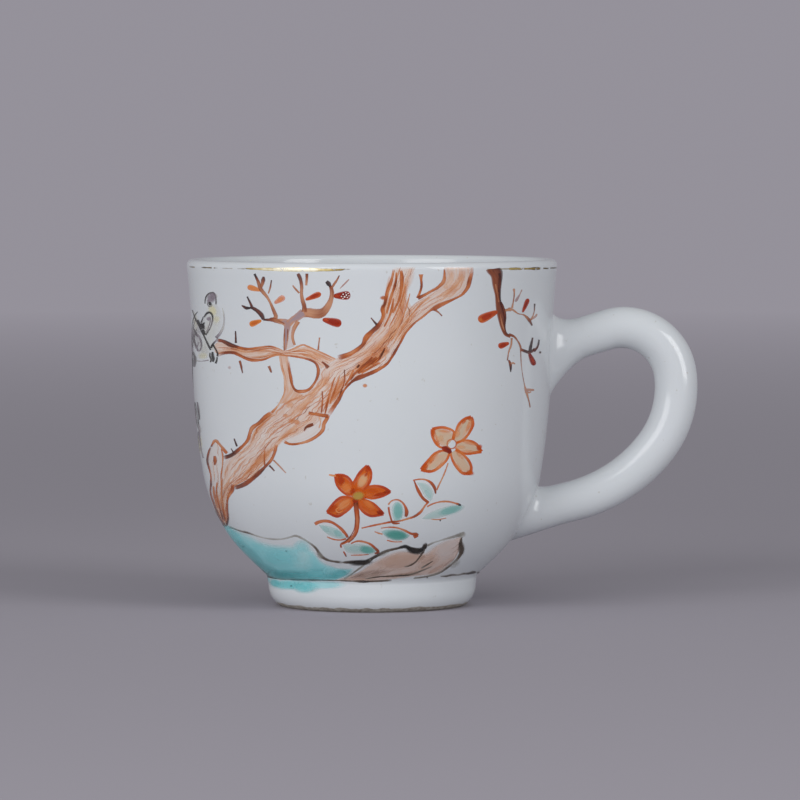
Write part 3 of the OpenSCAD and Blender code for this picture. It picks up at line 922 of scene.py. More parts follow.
# How thick the leaves and the green rocks are laid, and the buds
THICK = 0.05 * MM
BUD_DOME = 0.03 * MM
# Places round the cup that the brush moves to
FRONT = (0.0, False)
LEFT = (math.radians(-90), False)
BACK = (math.radians(176), True)
FAR_GILT = (math.pi, False)

BARK = (
    (0.0, srgb(208, 186, 172)), (0.3, srgb(196, 142, 104)), (0.6, srgb(174, 93, 41)),
    (0.8, srgb(134, 60, 26)), (1.0, srgb(80, 40, 26)),
)

MAIN_LEFT = [
    (394.5, 267), (388, 289), (382, 304), (379, 325), (364, 342), (350, 354), (334, 359),
    (320, 368), (316, 381), (303, 393), (283, 402), (270, 414), (254, 426), (249, 438), (241, 448),
    (228, 456), (222, 468), (221, 482), (216, 491), (214, 501), (218, 512), (222, 520), (226, 527),
]
MAIN_RIGHT = [
    (416, 267), (409, 282), (408, 299), (416, 316), (406, 332), (396, 350), (385, 365), (366, 375),
    (353, 381), (342, 394), (333, 407), (320, 421), (300, 434), (283, 442), (275, 452), (267, 465),
    (253, 479), (234, 488), (231, 494), (228, 502), (227.7, 511), (228, 519), (227.5, 526),
]
ARM_LEFT = [(444, 267), (443, 280), (434, 290), (424, 297), (412, 306), (400, 322), (390, 338)]
ARM_RIGHT = [(473, 267), (470, 284), (461, 295), (440, 305), (424, 316), (410, 328), (400, 343)]
STUB_LEFT = [(215, 441), (209, 452), (207.6, 461), (209.8, 469), (211.6, 478), (211, 490)]
STUB_RIGHT = [(218, 441), (222.5, 449), (224, 457), (223, 466), (222, 476), (222, 487)]
BRANCH_TOP = [
    (213.4, 346), (219, 341.8), (233, 345.5), (247, 348.5), (259, 347.6), (270, 346.5),
    (282, 350.5), (295, 348), (307.6, 346.5), (319, 351.4), (337, 359),
]
BRANCH_LOW = [
    (214.6, 352), (220, 354.6), (233, 352.7), (246, 358.4), (262, 359.7), (271, 357), (281, 355),
    (295, 356.5), (305, 358.4), (314, 361.5), (321, 369),
]
STEM_LEFT = [(279.6, 354), (282, 367), (284.6, 376), (285.2, 385), (284.6, 393), (278, 405)]
STEM_RIGHT = [(288, 354), (289.5, 368.6), (291.5, 378), (293, 386), (300, 392), (306, 398)]
KNOT_OUT = [(333, 407), (327, 417), (324, 428), (316, 436), (303, 442), (288, 443.5)]
KNOT_IN = [(320, 412), (307, 414), (300, 421), (296, 428), (290, 435), (283, 441)]
# Each limb as its two sides, with the tone and the cover of its wash
LIMBS = [
    (MAIN_LEFT, MAIN_RIGHT, 0.1, 0.42), (ARM_LEFT, ARM_RIGHT, 0.14, 0.4),
    (STUB_LEFT, STUB_RIGHT, 0.02, 0.2), (BRANCH_TOP, BRANCH_LOW, 0.12, 0.6),
    (STEM_LEFT, STEM_RIGHT, 0.2, 0.55), (KNOT_OUT, KNOT_IN, 0.05, 0.2),
]
TRUNK_WASHES = [
    (0.34, [(414, 270.3, 7), (409.4, 280, 9), (404, 292, 8), (401, 312, 9), (391, 334, 13),
        (378, 347, 13), (366, 353, 9), (352, 360, 5)]),
    (0.4, [(388, 345, 5), (380, 356, 8), (368, 364, 9), (355, 371, 6)]),
    (0.28, [(463, 270, 8), (460, 280, 9), (450, 291, 8), (436, 299, 5)]),
    (0.24, [(452, 270, 7), (451, 281, 7), (444, 289, 6)]),
    (0.42, [(390, 275, 3), (387, 292, 5), (385, 308, 6), (382, 322, 6)]),
    (0.36, [(276, 446, 4), (266, 455, 5), (257, 462.9, 6), (246.4, 473.6, 7), (238.4, 480, 6)]),
    (0.3, [(278, 408, 5), (266, 420, 6), (256, 432, 5), (250, 444, 4)]),
    (0.3, [(301, 421, 6), (292, 430, 7), (280, 440, 6), (272, 452, 4)]),
    (0.3, [(330, 372, 6), (321, 385, 7), (310, 398, 7), (296, 410, 6)]),
    (0.5, [(386, 349, 4), (377, 359, 9), (366, 367, 10), (354, 373, 7)]),
    (0.45, [(346, 376, 4), (338, 390, 8), (331, 402, 7)]),
    (0.32, [(222, 342.6, 4), (234, 347.6, 4), (246, 351.4, 4), (262, 350.6, 3), (276, 351.4, 2)]),
    (0.36, [(250, 357, 3), (260, 357, 3.4), (272, 354.6, 3), (284, 353.4, 2)]),
    (0.3, [(292, 352, 2), (304, 350.6, 4), (316, 356, 5), (326, 362, 5)]),
]
TRUNK_BLOTS = [
    (368, 361, 40, 13, 0.52, 0.7, -38), (335, 392, 34, 14, 0.45, 0.5, -62),
    (398, 300, 14, 44, 0.34, 0.4, 10), (262, 458, 34, 12, 0.4, 0.5, -42),
    (300, 408, 40, 12, 0.3, 0.4, -35), (238, 352, 34, 8, 0.3, 0.4, 8), (292, 421, 9, 7, 0.42, 0.7),
    (297, 422, 7, 6, 0.46, 0.7), (285.7, 415.5, 7, 5, 0.4, 0.6), (383.4, 297.8, 8, 5, 0.6, 0.8),
    (382.6, 308, 5, 9, 0.4, 0.5), (290, 405, 10, 8, 0.3, 0.5), (384, 350, 14, 10, 0.45, 0.5),
    (372, 361, 13, 8, 0.55, 0.6), (365, 385.6, 5.5, 4.5, 0.4, 0.9), (327, 383, 9, 12, 0.2, 0.4),
]
TRUNK_LINES = [
    (0.6, [(393.8, 269, 2.5), (391.4, 280.5, 3), (387.4, 291.4, 3.5), (385, 302.8, 3, 0.9),
        (382.5, 309, 4.5), (383.3, 316.2, 3.5), (378.8, 324.8, 4.5, 0.75), (373, 330.6, 5, 0.7),
        (366.3, 337.3, 5.5), (362.5, 345, 4.2, 0.7), (354, 351.6, 4.4), (346, 355.4, 5),
        (337.7, 357.8, 5.5, 0.58)]),
    (0.58, [(400.8, 270, 2.5), (401.8, 277, 4.2), (401.5, 286.6, 3.4), (400, 296, 2.6),
        (397.4, 303.5, 2.2), (392.2, 313.4, 1.8)]),
    (0.5, [(396.4, 272, 2), (395.4, 283.7, 2.4, 0.75), (391.2, 296.1, 3), (388.6, 306, 2.6),
        (386.4, 314, 2)]),
    (0.55, [(393.4, 298, 1.6), (392, 308, 2.6), (389, 317, 2), (384, 327, 1.5)]),
    (0.5, [(406, 284, 1), (402, 299, 1.4), (396.5, 313, 1.2), (389, 327, 1)]),
    (0.4, [(410, 293, 1), (406, 308, 1.4), (399, 325, 1.4), (391, 341, 1)]),
    (0.55, [(420.9, 274, 5), (421, 278.5, 3), (421.4, 286.6, 2.4, 0.7), (419, 294.6, 2.8),
        (417.5, 298.4, 4, 0.8)]),
    (0.58, [(417.4, 298.6, 3.6, 0.8), (425.7, 294.2, 3), (432, 290.6, 2.4), (437.5, 287.5, 3),
        (443.4, 281.5, 3.6, 0.5), (444.4, 275, 2.6), (444.2, 269, 1.6)]),
    (0.45, [(430, 297, 1), (421, 304, 1.6), (412, 314, 1.2), (406, 322, 1)]),
    (0.6, [(472.4, 267.2, 2), (471.6, 273, 3.6, 0.7), (469.7, 279.9, 4.2, 0.72),
        (467.8, 287, 3.8, 0.5), (464, 292.4, 3), (459.8, 296, 2.2), (449.6, 300.9, 2.8),
        (440.4, 305, 4.6, 0.7), (434.3, 308.4, 4.6, 0.7), (430.6, 310.2, 2.4), (422, 317.2, 2),
        (413.4, 324, 2), (405.6, 333, 2.2), (400.6, 342, 2.4), (395.2, 351.4, 2.8, 0.85),
        (391, 358.4, 2.6), (386, 364.6, 2.8), (377, 370.3, 3.6, 0.6), (366, 375, 4.4, 0.75),
        (358.4, 377.8, 5, 0.85), (351.6, 382, 2.8, 0.7), (345, 389, 2.2), (340.6, 396, 3.4, 0.75),
        (337.8, 401, 4.2), (333, 408, 4.4), (328.6, 415.6, 4, 0.5)]),
    (0.75, [(385, 347.5, 1.6), (382.5, 353, 2.2, 0.9), (378, 359.6, 2.6), (372, 364.6, 1.8)]),
    (0.8, [(372.6, 356.6, 1.8), (368, 362.4, 3), (361, 368, 2.6), (354, 374.5, 2.4),
        (350.5, 380, 1.6)]),
    (0.7, [(377, 357, 2.6), (372, 361.8, 3.2), (365, 367, 3), (358, 373.6, 2.4)]),
    (0.65, [(380, 362.6, 1.6), (371, 367.6, 2), (361, 373.2, 2)]),
    (0.97, [(357, 368, 2.2), (359.6, 364.4, 2.2)]),
    (0.6, [(353.7, 370, 2), (349.6, 378.5, 2.4), (345, 386, 1.6)]),
    (0.85, [(344.4, 369.3, 1.2), (344.6, 380.5, 1.5), (341.4, 390.7, 1.6), (338.8, 398, 1.4)]),
    (0.5, [(335, 377, 1.2), (331, 389, 1.8), (327, 402, 1.5), (323, 412, 1)]),
    (0.5, [(340, 375, 1.2), (335, 390, 2), (330, 404, 1.8)]),
    (0.7, [(322.3, 391, 1.2), (322.6, 402, 1.5), (321.4, 412.9, 1.6)]),
    (0.6, [(331, 390, 1.5), (327.5, 404, 2), (325, 414, 1.6)]),
    (0.75, [(321.6, 361.6, 1.8), (325, 364, 2.6), (328.5, 368, 4)]),
    (0.6, [(217, 340, 3.6, 0.9), (223.4, 341.2, 3.6, 0.8), (231, 345, 4.4, 0.9),
        (236, 346.4, 3.4, 0.9), (241.2, 348, 2.8, 0.6), (248.9, 348.9, 2.8), (259, 347.6, 2, 0.5),
        (269.3, 346.3, 1.8), (277, 348.2, 1.6, 0.4), (284, 351, 1.2, 0.35)]),
    (0.4, [(288.4, 350.8, 1.2), (294.8, 348.2, 1.6), (302.4, 345, 2), (307.6, 346.3, 1.6),
        (319, 351.4, 1.5), (328, 355.5, 1.4), (335.6, 359, 1.2)]),
    (0.65, [(218.3, 355.2, 3.4), (224.6, 352.9, 3.4, 0.75), (233.6, 352.7, 3.2, 0.85),
        (238.7, 354.8, 3, 0.7), (246.3, 358.4, 3.2, 0.6), (254, 360.3, 3.2), (263, 359.7, 2.2),
        (270.6, 357, 1.8, 0.5), (278.2, 355, 1.5, 0.4), (285.9, 355.6, 1.5, 0.4),
        (294.8, 356.5, 1.8, 0.5), (305, 358.4, 2.2, 0.65), (312.7, 361, 2.4), (316.6, 364.4, 2.8),
        (318.4, 370, 3.2), (317.4, 377, 3), (313.9, 383.9, 2.2, 0.5), (309, 389.4, 3),
        (302.4, 391.4, 3.6, 0.5), (296, 390.3, 2.6), (292.6, 385.2, 2.4), (291, 377.6, 3),
        (289.4, 368.6, 2.6), (288.4, 360, 1.8, 0.5)]),
    (0.3, [(279.6, 355, 1.4), (282, 367.3, 2), (284.6, 376.3, 2.2), (285.2, 385.2, 2),
        (284.6, 392.9, 1.8), (282, 399.2, 1.6), (277, 406.9, 1.6), (271, 413.4, 2.6, 0.5)]),
    (0.58, [(272, 412.6, 4), (266, 416.6, 4.4), (258.6, 423.4, 3.6), (252.8, 427.6, 4.2),
        (250.4, 432.5, 3.6), (248.2, 439.6, 3.2), (243.8, 445, 3, 0.65), (237.5, 450.8, 3.8, 0.85),
        (231, 455.4, 4.2, 0.92), (224, 457.6, 4, 0.85)]),
    (0.5, [(211.4, 447, 1.6, 0.9), (213.4, 443, 2.2, 0.5), (216, 440.5, 2.8), (220.5, 445, 2.2),
        (224, 449.5, 3.2, 0.4), (227.6, 453.6, 2.4)]),
    (0.85, [(211.4, 446.5, 1.6), (209, 452, 1.8), (207.6, 460.5, 2.2), (209, 467, 1.6, 0.7),
        (211, 475, 1.4, 0.6), (211.2, 484, 1.8, 0.8), (210.7, 492, 1.6, 0.7),
        (213.4, 502, 1.6, 0.7), (217, 511, 1.8), (221.4, 520, 2, 0.9), (226, 527, 2.2, 1.0)]),
    (0.5, [(221.4, 448.6, 1), (223, 455.7, 1.4), (222.8, 464.6, 1.2), (221.4, 475.4, 1.2),
        (221.4, 486, 1)]),
    (0.62, [(276.8, 444, 2.6, 0.5), (275, 452, 3), (271.5, 459.8, 3), (266.4, 465.6, 2.8, 0.85),
        (260.5, 471.6, 4.2, 0.82), (253.5, 478, 4.4, 0.8), (246.4, 483.2, 4.8, 0.8),
        (240, 486.3, 4.6, 0.85), (234.8, 487.6, 4.2, 0.9)]),
    (0.6, [(265, 450, 1, 0.4), (264.6, 458, 1.4), (265, 466, 1.4, 0.8)]),
    (0.7, [(233, 484, 3.4), (232.8, 489.6, 3.6, 0.8), (229.8, 494.6, 3, 0.5),
        (227.7, 500.4, 1.8, 0.6), (227.7, 509.3, 1.6, 0.8), (228.4, 518, 1.6, 0.9),
        (226.8, 526, 2.2, 1.0)]),
    (0.6, [(217.5, 482, 1, 0.35), (216.8, 492, 1.6), (219.4, 505, 1.6), (223.6, 520, 1.4, 0.85)]),
    (0.5, [(222.6, 478, 1), (221.8, 492, 1.5), (223, 508, 1.4), (225.4, 521, 1.4, 0.9)]),
    (0.4, [(213.6, 486, 1.4), (214.8, 496, 2.4), (218.5, 508, 1.6)]),
    (0.52, [(329, 414.6, 3), (326.4, 419.6, 4), (324, 424, 4), (322.8, 430, 3.6), (317, 436, 3.4),
        (308, 441, 3), (298, 443.7, 2.4), (290, 444, 2.4), (284, 441.4, 3.4, 0.6)]),
    (0.62, [(308.4, 412.8, 3.6, 0.7), (314.3, 413.8, 3), (319.6, 414.8, 3.4),
        (328.6, 416.2, 4, 0.8)]),
    (0.3, [(318.8, 416.4, 1.2), (320.6, 422, 1.1), (319, 428, 1)]),
    (0.8, [(304.2, 431.4, 0.8), (306, 427.6, 2.6), (310, 425.4, 3.6), (313.8, 424.2, 2.4)]),
    (0.72, [(214.8, 455.6, 1.6), (215.4, 460.2, 3.8), (215, 465.4, 1.2)]),
]
# Hair lines that run with a limb, as (its sides, how many, widths, tones, covers, lengths, band
# across it)
HAIRS = [
    (MAIN_LEFT, MAIN_RIGHT, 120, (0.6, 1.5), (0.2, 0.52), (0.25, 0.6), (0.05, 0.2), (0.06, 0.94)),
    (MAIN_LEFT, MAIN_RIGHT, 34, (0.5, 1.2), (0.55, 0.85), (0.3, 0.65), (0.04, 0.13), (0.5, 0.95)),
    (ARM_LEFT, ARM_RIGHT, 20, (0.6, 1.6), (0.2, 0.5), (0.25, 0.6), (0.2, 0.6), (0.06, 0.94)),
    (BRANCH_TOP, BRANCH_LOW, 26, (0.6, 1.4), (0.3, 0.6), (0.35, 0.75), (0.1, 0.4), (0.12, 0.88)),
    (STUB_LEFT, STUB_RIGHT, 5, (0.5, 0.9), (0.25, 0.5), (0.3, 0.5), (0.3, 0.6), (0.15, 0.85)),
]


def paint_tree():
    """Paints the trunk, the side branch and the broken stubs of the plum tree."""
    brush = Painting(lift=0.020 * MM, seed=11)
    for one, other, tone, cover in LIMBS:
        brush.patch(one, other, tone, cover, across=12, fade=0.015)
    brush.rise_over()
    brush.lines(TRUNK_WASHES, cover=0.75, fade=0.25, soft=SOFT_SIDES)
    brush.rise_over()
    brush.blots(TRUNK_BLOTS)
    for hairs in HAIRS:
        brush.streaks(*hairs)
    brush.rise_over()
    brush.lines(TRUNK_LINES, cover=0.9, fade=0.05)
    material = enamel_material("bark_enamel", BARK, streak=0.32)
    brush.finish("painted_tree", "tree_enamel", material)


WOOD = (
    (0.0, srgb(150, 126, 130)), (0.3, srgb(184, 130, 96)), (0.6, srgb(134, 68, 38)),
    (0.85, srgb(84, 38, 28)), (1.0, srgb(40, 24, 24)),
)
TWIG_LINES = [
    (0.02, [(285.3, 350, 2.4), (286, 341, 4.4), (286.6, 333, 5), (287.4, 327, 6.4),
        (287.2, 322.6, 8)]),
    (0.5, [(284.4, 350.5, 1.2), (284.4, 341, 1.8), (284.6, 334, 1.4), (284.8, 328, 1)]),
    (0.5, [(287.4, 341, 1), (287.8, 334, 1.3), (288, 329, 0.9)]),
    (0.3, [(294.6, 345, 2), (292.6, 337, 2.8), (294, 329, 3.6), (298.4, 321.4, 4.6)]),
    (0.5, [(295.4, 345, 1), (293.4, 337, 1.2), (295, 329.6, 1.2), (299.4, 322, 1)]),
    (0.06, [(289, 323.6, 8), (283.6, 321.8, 6.4), (277.5, 320.9, 5, 0.4), (273, 319.6, 4.6, 0.6),
        (268.6, 319.8, 2.8, 0.7), (263.5, 319.6, 2.4, 0.8)]),
    (0.55, [(270, 318.6, 1, 0.8), (275, 319.6, 1.5), (280, 321.4, 1.6), (284.6, 323.6, 1.2)]),
    (0.88, [(263.6, 319.6, 3), (262, 315.6, 4.6), (258.4, 311.6, 4), (254.4, 308.8, 3.6),
        (250.6, 306.8, 3.2)]),
    (0.9, [(252, 306.6, 2.6), (250, 302, 2.2), (247.3, 296.6, 1.5)]),
    (0.92, [(250.4, 308, 2), (246.4, 308, 3.2), (244, 306.6, 2.4), (241.8, 305.4, 1.2)]),
    (0.35, [(274, 320, 4.4), (276, 316.6, 4.4), (274.6, 312.5, 3.6), (271, 304, 2.6),
        (267.6, 297.6, 2.6), (263.6, 292.6, 3.6), (260.7, 288.6, 4, 0.45), (259, 283.6, 3.4, 0.5),
        (257.4, 279.6, 2.8, 0.7), (254.6, 273.8, 2.4, 1.0)]),
    (0.55, [(261.4, 287, 2.8), (262.6, 283.6, 3.2), (263.4, 279.6, 4, 0.8),
        (263.8, 276.6, 2, 0.8)]),
    (0.5, [(268.4, 293.5, 1.2), (270.4, 287.4, 1.5), (271.6, 280, 1.3, 0.8)]),
    (0.06, [(288.6, 323.8, 7), (292.6, 320, 6.6), (297, 317.4, 7.4), (303.4, 312.5, 9)]),
    (0.45, [(304.4, 312, 6), (304.4, 306.4, 4.6), (302.6, 300, 3.8), (301.6, 294, 3.4),
        (301.8, 287, 3.2, 0.4), (301, 281, 3.6, 0.7), (299.6, 276.8, 4, 0.88),
        (298, 273.6, 2.8, 0.9)]),
    (0.3, [(299.4, 293, 1.6), (296, 289.4, 1.7), (292.8, 285.4, 1.4)]),
    (0.38, [(303.6, 312.8, 9), (309.4, 312.6, 9.6), (315, 313.6, 10), (321.4, 313, 9.4),
        (326.6, 308.4, 7.4), (330.4, 301.4, 5.4), (332, 294.4, 4.6), (331.6, 289.4, 3.8, 0.5),
        (330.2, 286, 3, 0.7)]),
    (0.5, [(306, 316.2, 1), (314, 317.4, 1.3), (322, 316.6, 1.4), (328.4, 311.4, 1.2)]),
    (1.0, [(330.6, 286.4, 2.6), (328.6, 283.6, 4.6), (326.4, 281.4, 3)]),
    (0.5, [(331.8, 288, 2.4), (334, 284.4, 2.4), (337, 280, 2), (339.4, 275.4, 1.4, 0.8)]),
    (0.15, [(340, 288.5, 1), (344, 284.5, 1.5), (349, 279.4, 1.2)]),
    (0.75, [(307, 273.6, 3.2), (306.9, 279, 2.8, 0.4), (306.3, 285.4, 2, 0.2)]),
    (0.9, [(235.6, 331, 1), (235.9, 337, 1.8), (236, 343, 2.4)]),
    (0.6, [(239.8, 360.6, 2.2), (241.3, 366, 2), (242.7, 373.2, 1)]),
    (0.5, [(319.7, 337.5, 1.4), (319, 343, 1.5), (318.3, 350, 1.8)]),
    (0.6, [(269, 366, 2.6), (270.4, 369.6, 2.4), (271.6, 372.6, 1.6)]),
    (0.88, [(371, 317.8, 1.2), (374, 321.5, 2), (378, 326, 3.4)]),
    (0.4, [(433.6, 309.4, 2.4), (438, 312, 1.6), (442, 316, 1.4, 0.7)]),
    (0.85, [(234.2, 438.5, 1), (235.5, 442, 1.4), (237.2, 446.4, 1.8)]),
    (0.8, [(231.2, 448.5, 0.9), (233.8, 452.6, 1.6)]),
    (0.8, [(269.4, 465.4, 2.2), (272, 468, 1.6), (274.6, 471, 1)]),
    (0.3, [(273.5, 460, 1.6), (279, 465.5, 1.4), (286, 473, 0.9)]),
    (0.85, [(499.5, 273, 2), (499.8, 282, 2.4), (498.8, 292, 2)]),
    (0.75, [(501, 302, 1.2), (503.4, 308, 2.2), (505, 316, 2.4), (504.4, 325, 1.8),
        (505.4, 333, 1.2)]),
    (0.42, [(495.4, 284, 1.6), (497, 292, 2), (498.6, 302, 1.6)]),
    (0.42, [(500, 314, 1.6), (502, 324, 1.8), (505, 332, 1.4)]),
    (0.5, [(509, 334.6, 3), (514, 336.6, 2.2), (518, 341.6, 1.6), (520.4, 347, 1.6),
        (520.6, 352, 1.1), (521, 362, 0.7, 0.5, 0.75), (522.2, 373, 0.6, 0.5, 0.7),
        (524, 383, 0.8, 0.5, 0.75), (525.4, 389, 2, 0.3), (527.4, 396, 1.8, 0.3),
        (529.3, 403, 1.1, 0.5), (530, 407.4, 0.8)]),
    (0.2, [(524.6, 389.6, 2), (529, 389.8, 2.6), (534, 390, 1.6)]),
    (0.2, [(525.4, 391, 3), (528.6, 392.6, 2), (531, 391.6, 1)]),
    (0.4, [(511.6, 338, 2), (511, 345, 1.6), (508.6, 352, 1.3), (507.3, 360.5, 1, 0.6)]),
    (0.55, [(508.6, 360, 1.4), (510.2, 364, 2.6), (510.6, 368, 2.4, 0.8), (510.6, 372, 1, 0.9)]),
    (0.15, [(510.6, 363.5, 1.4), (513, 363, 1.8), (515, 364, 1)]),
    (0.25, [(505, 310.5, 3), (510, 309.4, 2.6), (513, 310, 2), (518, 313.6, 1.2, 0.5),
        (523, 314.6, 1.4, 0.4), (526.4, 317, 2.4, 0.3), (529.4, 320.6, 3, 0.6),
        (532, 325.6, 1.5, 0.9)]),
    (0.25, [(512, 308, 2.2), (513.4, 301, 1.1, 0.4), (514.2, 294.6, 1.1, 0.5),
        (514, 289.6, 2, 0.3)]),
    (0.1, [(515.4, 301.6, 1.6), (517.4, 298.4, 2.4), (520, 294, 1), (522, 289.6, 0.8)]),
    (0.3, [(530.4, 320, 1.4), (532.6, 316.4, 1.1), (534.2, 311, 1, 0.7),
        (534.6, 303.6, 1.2, 0.95)]),
    (0.15, [(531, 319.6, 1.8), (535.4, 316.4, 2), (537, 314, 1)]),
    (0.8, [(521, 349.6, 3, 0.5), (524.6, 351, 3.2), (528.4, 352.2, 3.2), (531.6, 351.4, 2.6),
        (534.6, 348.6, 2.4)]),
    (0.9, [(529.6, 351.6, 2.8), (530.8, 345.6, 2.8), (532.6, 337.6, 1.5)]),
    (0.85, [(533.6, 351, 3), (536.6, 348, 2.2), (538.2, 344.4, 1.8), (538.9, 339.6, 1.2)]),
]
HANGING_LEFT = [
    (486, 270), (487.6, 273), (491, 277), (492.6, 286), (495, 295.5), (495.6, 305), (496.4, 312),
    (498, 319), (500.6, 328), (504.4, 335.4), (510, 338),
]
HANGING_RIGHT = [
    (500, 267.8), (502.6, 271), (502.8, 277), (501.4, 287), (501, 298), (502.4, 305), (505.6, 310),
    (506.4, 317.5), (505.6, 327), (507.3, 333), (511, 334.6),
]
WOOD_BLOTS = [
    (286.8, 323.6, 9, 7, 0.05, 0.9), (540, 352.4, 2.6, 3, 0.9, 1.0),
    (509.6, 309.4, 6, 5, 0.25, 0.7), (514, 289.6, 3, 3, 0.3, 0.8), (229.6, 367.6, 4, 4, 0.1, 0.4),
]
FORK_LEFT = [(285, 350), (286, 339), (286, 330), (286, 322)]
FORK_RIGHT = [(295, 346), (293, 337), (295.5, 330), (300, 322)]


def paint_twigs():
    """Paints the twigs and thorns of the plum tree, with the one that hangs at the right."""
    brush = Painting(lift=0.022 * MM, seed=21)
    brush.patch(FORK_LEFT, FORK_RIGHT, tone=0.3, cover=0.2)
    brush.patch(HANGING_LEFT, HANGING_RIGHT, tone=0.62, cover=0.97, across=6, lean=(-0.1, 0.24))
    brush.rise_over()
    brush.blots(WOOD_BLOTS)
    brush.rise_over()
    brush.lines(TWIG_LINES, cover=0.9)
    material = enamel_material("wood_enamel", WOOD, streak=0.25)
    brush.finish("painted_twigs", "twig_enamel", material)


BUD_RED = (
    (0.0, srgb(238, 232, 226)), (0.12, srgb(194, 132, 112)), (0.3, srgb(206, 124, 52)),
    (0.6, srgb(168, 56, 18)), (0.8, srgb(140, 34, 6)), (1.0, srgb(104, 10, 8)),
)
# Each bud as (base x, base y, tip x, tip y, width, tone), and a deeper touch at its end
BUDS = [
    (261.4, 320.4, 249.6, 324.8, 6.2, 0.34), (261, 290.5, 247.5, 286.7, 5.8, 0.27),
    (274.6, 303.2, 284.6, 296.6, 6.4, 0.15), (305.6, 299.8, 321, 293.4, 6.2, 0.56),
    (333.6, 296, 350.4, 295.2, 9, 0.84), (322.6, 319.4, 341.4, 324, 8.8, 0.76),
    (497.5, 311.4, 478.4, 320.6, 9, 0.56), (509, 343, 498.4, 346.6, 6.2, 0.6),
    (522.6, 312.4, 528.4, 298.6, 4.6, 0.72), (529, 353, 534.5, 365.4, 5.6, 0.92),
]
BUD_BLOTS = [
    (255, 322.8, 9, 4.4, 0.46, 0.7, -20), (255, 288.6, 10, 3.4, 0.2, 0.5, 15),
    (314.6, 295.8, 13, 4.4, 0.72, 0.8, -22), (333.8, 321.9, 16, 6, 0.84, 0.8, 13),
    (326, 320, 7, 4, 0.6, 0.6, 12), (486, 317, 15, 6, 0.68, 0.8, -27),
    (503, 345.2, 8, 4.6, 0.72, 0.8, -18), (345.4, 295.4, 11, 8, 1.05, 0.9),
    (337, 296, 7, 4, 0.62, 0.7), (280.6, 299.4, 8, 4.6, 0.24, 0.6, -35),
    (525.8, 304.6, 9, 2.6, 0.86, 0.8, -67), (532.4, 360.4, 9, 3.4, 0.66, 0.7, 66),
    (480.4, 319.6, 5, 4, 0.3, 0.3),
]
BUD_SPECKS = [
    (341.6, 296.4, 1.2), (343.2, 294.2, 1.4), (344.6, 296.8, 1.7), (346.4, 295, 1.5),
    (348.2, 293.4, 1.2), (347.4, 297.4, 1.3), (345.8, 292.6, 1.1), (349, 295.8, 1.1),
    (343, 298.4, 1.1),
]


def paint_buds():
    """Paints the closed buds along the twigs."""
    brush = Painting(lift=0.026 * MM, seed=31)
    for bud in BUDS:
        brush.dab(*bud, dome=BUD_DOME)
    brush.rise_over(BUD_DOME)
    brush.blots(BUD_BLOTS)
    brush.rise_over()
    for speck in BUD_SPECKS:
        brush.dot(*speck, tone=-0.3, cover=0.85)
    material = enamel_material(
        "bud_enamel_red", BUD_RED, streak=0.08, grain=0.08, opacity=1.0, pooling=-0.05
    )
    brush.finish("painted_buds", "bud_enamel", material)


PETAL_ORANGE = (
    (0.0, srgb(188, 164, 128)), (0.15, srgb(204, 150, 108)), (0.3, srgb(202, 114, 54)),
    (0.5, srgb(190, 83, 8)), (0.75, srgb(166, 52, 2)), (1.0, srgb(118, 26, 6)),
)
# Each petal as its two sides, from the base to the tip
FULL_PETALS = [
    ([(357, 491), (352.6, 485), (355, 480), (358.5, 474), (363, 469), (367, 465.5)], [(361, 491),
        (364.5, 489), (368.4, 484.6), (371, 478), (370.8, 471), (367, 465.5)]),
    ([(361, 493.5), (366, 488), (373, 485.8), (380, 486.2), (386, 488.6), (390.5, 491.8)],
        [(361, 496), (367, 497.6), (373, 498.4), (380, 497), (386, 494.4), (390.5, 491.8)]),
    ([(360, 498), (366, 500), (374, 504), (379, 508.6), (383.5, 514)], [(357.5, 499.5),
        (358.8, 506), (363.6, 512), (371.5, 516), (383.5, 514)]),
    ([(355, 498.5), (346, 496.6), (339.6, 498), (333.6, 503), (327, 512)], [(355.5, 501),
        (351.6, 506.5), (345, 512.5), (337, 516.4), (327, 512)]),
    ([(355.5, 492), (352.4, 483.5), (348.5, 477.6), (342.4, 475), (335, 475)], [(353, 494.8),
        (346.5, 494.3), (340, 489.4), (336.4, 483), (335, 475)]),
]
PALE_PETALS = [
    ([(453, 440), (455.6, 432), (458.8, 424.4), (464.4, 419), (471, 417)], [(457, 442.5),
        (463.6, 439.4), (469.4, 432.4), (472.8, 424), (471, 417)]),
    ([(452.5, 439.6), (453.6, 431.6), (446.4, 428), (439.6, 427.4), (432.2, 429.2)], [(446.6, 447),
        (440.4, 447.2), (435.2, 442.4), (432.4, 436), (432.2, 429.2)]),
    ([(456.4, 443), (462.4, 440.8), (469, 440.8), (476, 444), (481.4, 451.6)], [(455.6, 448),
        (460.6, 452), (467, 453.8), (474, 452.8), (481.4, 451.6)]),
    ([(455.4, 450), (461.4, 453.4), (467.4, 459), (471, 466), (470.6, 473.4)], [(450.4, 452.4),
        (452, 459), (456, 466.4), (462.4, 473), (470.6, 473.4)]),
    ([(447, 450.6), (441, 450.8), (434, 454.2), (427.4, 461.4), (421, 469.6)], [(449.6, 452.4),
        (446.8, 459.6), (440, 466.6), (431, 471.4), (421, 469.6)]),
]
